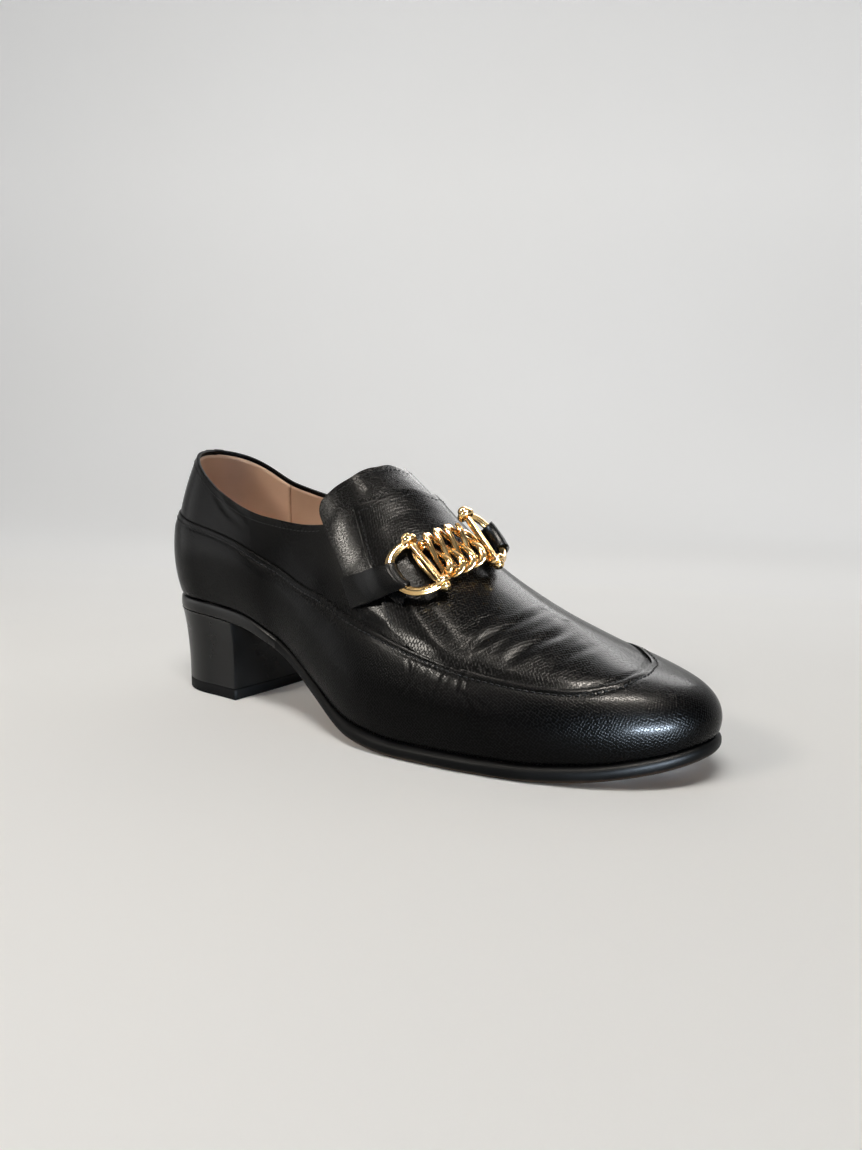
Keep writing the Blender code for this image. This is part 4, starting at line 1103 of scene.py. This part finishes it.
def build_links():
    """Flat twisted links side by side; the end links pass under the bars."""
    across, along, normal = bit_frame()
    centre = (np.asarray(BAR_RIGHT) + np.asarray(BAR_LEFT)) / 2
    stretch = np.linalg.norm(np.subtract(BAR_LEFT, BAR_RIGHT)) / 2 / CHAIN_HALF
    turn = (np.arange(LINK_POINTS) + 0.5) * 2 * math.pi / LINK_POINTS
    for number, (place, wide, high) in enumerate(LINKS, 1):
        x = place + wide * np.sign(np.cos(turn)) * np.abs(np.cos(turn)) ** LINK_ROUND
        near_bar = ease((np.abs(x) - CHAIN_HALF + UNDER_FROM) / UNDER_OVER)
        lift = LINK_TWIST * np.sin(2 * turn) * (1 - near_bar) - LINK_UNDER_BAR * near_bar
        middle = centre + place * stretch * across
        path = (centre + (x * stretch)[:, None] * across + (high * np.sin(turn))[:, None] * along
                + lift[:, None] * normal)
        band = LINK_BAND + np.where(turn > math.pi, LINK_TOP, LINK_FOOT) * np.sin(turn) ** LINK_PEAK
        section = oval(1.0, LINK_THICK, LINK_SIDES, LINK_SQUARE)
        points, faces = tube_parts(path, True, path - middle, section, band)
        add_object(f"twisted_link_{number}", points, faces, [GOLD], solid=f"chain_link_{number}",
                   slot="gold_metal")


# Straps
def settle(point, u, level, out):
    """Place on the last, as u, level and distance out, that gives a point."""
    place = np.array([u, level, out], float)
    for _ in range(SETTLE_ROUNDS):
        here = skin(*place)
        slope = np.stack([(skin(*(place + step)) - here) / step.sum() for step in np.diag(SETTLE_STEPS)], -1)
        place = place + np.linalg.solve(slope, point - here)
    return place


def strap_column(strap, path, spot, share):
    """Centre line of a strap at one place across it: tucked end, fold round the ring, run to the saddle."""
    steps = np.arange(len(path))
    hold, beyond = (on_line(at, steps, path) for at in (spot, spot + RING_LOOK))
    ring_way = unit(beyond - hold)
    ring_end, seam_end = (np.asarray(strap[end][0]) * (1 - share) + np.asarray(strap[end][1]) * share
                          for end in ("ring", "seam"))
    if strap["side"] > 0:
        ring_end, seam_end = np.array([2, 0]) + ring_end * (-1, 1), np.array([2, 0]) + seam_end * (-1, 1)
    normal = skin_normal(*ring_end)
    toward = last_point(*seam_end) - last_point(*ring_end)
    normal = unit(normal - ring_way * (normal @ ring_way))
    toward = unit(toward - ring_way * (toward @ ring_way) - normal * (toward @ normal))
    wrap = np.radians(np.linspace(*STRAP_FOLD, FOLD_POINTS))[:, None]
    fold = hold + STRAP_HOLD * (np.cos(wrap) * toward + np.sin(wrap) * normal)
    tuck = fold[0] + np.linspace(STRAP_TUCK, 0, TUCK_POINTS)[:-1, None] * toward
    start = settle(fold[-1], *ring_end, STRAP_LIFT)
    way = np.linspace(0, 1, RUN_POINTS)[1:]
    height = STRAP_END + (start[2] - STRAP_END) * read(STRAP_FALL, way, "kept")
    run = skin(start[0] + (seam_end[0] - start[0]) * way, start[1] + (seam_end[1] - start[1]) * way, height)
    return np.concatenate([tuck, fold, run])


def build_strap(name, solid, strap, path):
    """Strap folded round the ring's path and run down to the saddle's edge."""
    middle = (len(path) - 1) / 2
    shares = np.linspace(0, 1, STRAP_COLUMNS)
    spots = middle + STRAP_REACH * (2 * shares - 1)
    sheet = np.stack([strap_column(strap, path, spot, share) for spot, share in zip(spots, shares)], 1)
    along, across = np.gradient(sheet, axis=0), np.gradient(sheet, axis=1)
    square = unit(np.cross(across, along)) * STRAP_THICK / 2
    low, high = (sheet + square, sheet - square) if strap["side"] < 0 else (sheet - square, sheet + square)
    shell(name, low, high, False, STRAP_LEATHER, solid=solid, slot="strap_leather")


# Sole, heel and insole
def build_outsole():
    u = round_loop(SOLE_COLUMNS)
    full = sole_reach(u)
    loops = []
    bead = HEEL_BEAD + (1 - HEEL_BEAD) * ease((plan(u)[0] - BREAST_X) / BEAD_OVER)
    for set_back, height in SOLE_EDGE:
        px, py = outline(u, full - set_back * bead)
        loops.append(np.stack([px, py, tread(px) + height], -1))
    points, faces = loft(loops, tread, lambda x: tread(x) + SOLE_THICK)
    rise = points[:, 2] - tread(points[:, 0])
    uv = [(points[i, 0] * MM, rise[i] * MM) for face in faces for i in face]
    ahead = [points[face, 0].mean() > COVERED_TO for face in faces]
    under = [max(rise[i] for i in face) < UNDERSIDE for face in faces]
    slots = np.where(under, 1, np.where(ahead, 0, 2))
    add_object("sole_edge_and_tread", points, faces, [SOLE_EDGE_PAINT, SOLE_UNDER, HEEL_COVER],
               "sole_leather", "outsole", uv, slots)


INSOLE_THICK, INSOLE_IN, INSOLE_RAISED = 2.2, 0.6, 0.05
INSOLE_EDGE = ((4.0, 0.0), (0.1, 0.0), (0.0, 0.3), (0.0, 1.4), (0.25, 1.9), (0.7, 2.1), (1.4, INSOLE_THICK))


def build_insole():
    u = round_loop(SOLE_COLUMNS)
    loops = []
    for set_back, height in INSOLE_EDGE:
        px, py = outline(u, np.full(u.shape, -INSOLE_IN - set_back))
        loops.append(np.stack([px, py, seat(px) + INSOLE_RAISED + height], -1))
    points, faces = loft(loops, lambda x: seat(x) + INSOLE_RAISED,
                         lambda x: seat(x) + INSOLE_RAISED + INSOLE_THICK)
    add_object("sock_lining", points, faces, [LINING], uv=flat_uv(points, faces), solid="insole",
               slot="lining_leather")


def heel_outline(back_in, width, set_back):
    """Loop round the heel: the sole's outline behind the breast, closed by a breast that bows a little."""
    shares = []
    for s in (LEFT, RIGHT):
        run = (BREAST_X - s["heel_x"]) / (s["ball_x"] - s["heel_x"])
        shares.append(HEEL_SHARE + (BALL_SHARE - HEEL_SHARE) * run)
    u = np.linspace(-shares[0], shares[1], HEEL_POINTS)
    x, y = outline(u, GUARD + LIP["out"][0] - HEEL_EDGE_IN - set_back)
    back = x.min()
    x = BREAST_X - set_back + (x - BREAST_X) * (BREAST_X - back - back_in) / (BREAST_X - back)
    y = y * width
    cross = np.linspace(0, 1, BREAST_POINTS + 2)[1:-1]
    middle = HEEL_POINTS // 2
    breast = x[-1] + (x[0] - x[-1]) * cross + BREAST_BOW * np.sin(math.pi * cross)
    x = np.concatenate([x[middle:], breast, x[:middle]])
    y = np.concatenate([y[middle:], y[-1] + (y[0] - y[-1]) * cross, y[:middle]])
    return x, y


def build_heel():
    loops = []
    for down in np.linspace(0, 1, HEEL_ROWS):
        back_in = read(HEEL_TAPER, down, "back_in")
        width = read(HEEL_TAPER, down, "width")
        x, y = heel_outline(back_in, width, 0.0)
        top = tread(x) - GAP
        loops.append(np.stack([x, y, top + (TOP_PIECE + GAP - top) * down], -1))
    points, faces = loft(loops[::-1], lambda x: TOP_PIECE + GAP, lambda x: tread(x) - GAP)
    block = add_object("heel_block_cover", points, faces, [HEEL_COVER], "heel_leather", "heel_block")
    round_edges(block, HEEL_CORNER)
    loops = []
    for set_back, share in TOP_PIECE_EDGE:
        x, y = heel_outline(HEEL_TAPER["back_in"][-1], HEEL_TAPER["width"][-1], set_back)
        loops.append(np.stack([x, y, np.full(x.shape, TOP_PIECE * share)], -1))
    points, faces = loft(loops, lambda x: 0.0, lambda x: TOP_PIECE)
    add_object("heel_top_piece", points, faces, [HEEL_RUBBER], solid="heel_top_piece", slot="heel_rubber")


build_mudguard()
build_quarter()
build_lining()
build_saddle()
build_plug()
right_path = build_ring("right_bit_ring", "bit_ring_right", BAR_RIGHT, RING_OUT_RIGHT, TILT_RIGHT,
                        DEPTH_RIGHT)
left_path = build_ring("left_bit_ring", "bit_ring_left", BAR_LEFT, RING_OUT_LEFT, TILT_LEFT, DEPTH_LEFT)
build_links()
build_strap("right_strap", "strap_right", STRAP_RIGHT, right_path)
build_strap("left_strap", "strap_left", STRAP_LEFT, left_path)
build_outsole()
build_insole()
build_heel()


# Floor, light and camera; the backdrop's painted-light glow grows from the floor round the shoe to the wall and
# the right
BACKDROP_RIGHT = 0.4
BACKDROP_PAINTED_LIGHT, GLOW_SCALE, GLOW_START = ((0.05, 0.0), (0.5, 0.27), (1.0, 0.41)), 0.5, 0.15
# floor in metres: front edge; start, radius, first angle and points of the curve; top, half width, columns
FLOOR_FRONT, CURVE_FROM, CURVE_RADIUS, CURVE_START, CURVE_POINTS = -3.0, 0.9, 0.8, 0.1, 24
WALL_TOP, FLOOR_HALF, FLOOR_COLUMNS = 4.0, 12.0, 9
PAPER_PATCHES, PAPER_ROUGH = 1.5, 0.8
PAPER_TONES = ((0.3, (0.78, 0.775, 0.755)), (0.7, (0.80, 0.80, 0.79)))


def pale_floor():
    """Seamless pale sheet: flat floor that curves up into a wall far behind the shoe; it glows with painted
    light toward the wall and the right.
    """
    turn = math.radians(CAMERA_AZIMUTH)
    away = np.array([-math.sin(turn), math.cos(turn)])
    side = np.array([math.cos(turn), math.sin(turn)])
    bend = np.linspace(CURVE_START, math.pi / 2, CURVE_POINTS)
    run = np.concatenate([[FLOOR_FRONT, CURVE_FROM], CURVE_FROM + CURVE_RADIUS * np.sin(bend),
                          [CURVE_FROM + CURVE_RADIUS]])
    rise = np.concatenate([[0, 0], CURVE_RADIUS - CURVE_RADIUS * np.cos(bend), [WALL_TOP]])
    across = np.linspace(-FLOOR_HALF, FLOOR_HALF, FLOOR_COLUMNS)
    points = [(*(away * r + side * s), z) for r, z in zip(run, rise) for s in across]
    mesh = bpy.data.meshes.new("floor")
    mesh.from_pydata(points, [], [list(f) for f in grid_faces(len(run), FLOOR_COLUMNS, False)])
    mesh.shade_smooth()
    material, tree, shader = new_material("pale paper")
    body = body_place(tree)
    tint = ramp(tree, noise(tree, body, PAPER_PATCHES, 3.0), PAPER_TONES)
    tree.links.new(tint, shader.inputs["Base Color"])
    shader.inputs["Roughness"].default_value = PAPER_ROUGH
    shader.inputs["Specular IOR Level"].default_value = 0.0
    # painted light: the paper's emission stands in for lamp light, none round the shoe and more toward the wall
    # and the right
    behind = dot(tree, body, (*(away + BACKDROP_RIGHT * side), 0.0))
    behind = maths(tree, "MULTIPLY_ADD", behind, GLOW_SCALE, GLOW_START)
    tree.links.new(ramp(tree, behind, BACKDROP_PAINTED_LIGHT, "EASE"), shader.inputs["Emission Color"])
    shader.inputs["Emission Strength"].default_value = 1.0
    mesh.materials.append(material)
    floor = bpy.data.objects.new("floor", mesh)
    bpy.context.scene.collection.objects.link(floor)


def area_light(name, place, aim, size, power, colour, gleam):
    light = bpy.data.lights.new(name, "AREA")
    light.shape = "RECTANGLE"
    light.size, light.size_y = size
    light.energy = power
    light.color = colour
    lamp = bpy.data.objects.new(name, light)
    lamp.location = place
    lamp.rotation_euler = (Vector(aim) - Vector(place)).to_track_quat("-Z", "Y").to_euler()
    lamp.visible_diffuse, lamp.visible_glossy, lamp.visible_camera = not gleam, gleam, False
    bpy.context.scene.collection.objects.link(lamp)


def set_light():
    """Bright sheet lights above and behind the shoe's left; the room on the camera's side stays dim."""
    scene = bpy.context.scene
    scene.view_settings.view_transform = "Standard"
    world = bpy.data.worlds.new("studio")
    scene.world = world
    world.use_nodes = True
    tree = world.node_tree
    background = tree.nodes["Background"]
    way = node(tree, "ShaderNodeTexCoord").outputs["Generated"]
    facing = maths(tree, "MULTIPLY_ADD", dot(tree, way, ROOM_DIRECTION), 0.5, 0.5)
    tree.links.new(ramp(tree, facing, ROOM_TONES), background.inputs["Color"])
    background.inputs["Strength"].default_value = ROOM_STRENGTH
    for light in LIGHTS:
        area_light(*light)


# The room: direction it is darkest in, tones from the far side to that side, strength
ROOM_DIRECTION, ROOM_STRENGTH = (0.55, -0.8, 0.25), 0.42
ROOM_TONES = ((0.15, (0.84, 0.92, 1.0)), (0.4, (0.40, 0.44, 0.48)), (0.62, (0.24, 0.25, 0.265)))
# name, place, aim, width and height in metres, watts, colour, shown in gloss alone or else in matt alone
LIGHTS = (("strip", (0.20, -0.42, 1.28), (0.06, 0.0, 0.04),
           (0.7, 0.15), 9.4, (1.0, 0.97, 0.935), False),
          ("window", (-0.38, -0.88, 0.68), (-0.01, -0.02, 0.08),
           (0.34, 0.16), 4.0, (1.0, 0.94, 0.86), False),
          ("toe gleam", (0.254, -0.115, 0.515), (0.097, -0.02, 0.05),
           (0.20, 0.045), 9.0, (1.0, 0.93, 0.84), True),
          ("plug gleam", (-0.045, -0.223, 0.62), (0.037, -0.025, 0.065),
           (0.10, 0.05), 1.3, (1.0, 0.92, 0.82), True),
          ("saddle gleam", (-0.197, -0.489, 0.418), (-0.008, -0.035, 0.075),
           (0.10, 0.07), 3.4, (1.0, 0.94, 0.85), True),
          ("sky gleam", (0.53, -0.29, 0.07), (0.11, -0.03, 0.035),
           (0.24, 0.06), 26.0, (0.70, 0.84, 1.0), True),
          ("back gleam", (-0.06, 0.70, 0.54), (0.07, 0.0, 0.06),
           (0.5, 0.36), 5.6, (1.0, 0.99, 0.98), True),
          ("ceiling", (0.10, 0.35, 1.20), (0.05, 0.0, 0.06),
           (1.2, 0.8), 0.9, (1.0, 0.98, 0.95), True),
          ("left gleam", (-0.79, -0.39, 0.15), (-0.10, 0.0, 0.06),
           (0.5, 0.4), 1.3, (1.0, 0.99, 0.98), True))


def set_camera():
    turn, lift = math.radians(CAMERA_AZIMUTH), math.radians(CAMERA_ELEVATION)
    back = Vector((math.sin(turn) * math.cos(lift), -math.cos(turn) * math.cos(lift), math.sin(lift)))
    target = Vector((np.array(CAMERA_TARGET) - ORIGIN) * MM)
    camera = bpy.data.cameras.new("camera")
    camera.lens = CAMERA_LENS
    camera.sensor_width = CAMERA_SENSOR
    camera.clip_start = CAMERA_NEAR
    holder = bpy.data.objects.new("camera", camera)
    holder.location = target + back * CAMERA_AWAY * MM
    holder.rotation_euler = (-back).to_track_quat("-Z", "Y").to_euler()
    bpy.context.scene.collection.objects.link(holder)
    bpy.context.scene.camera = holder


pale_floor()
set_light()
set_camera()
bpy.context.view_layer.update()
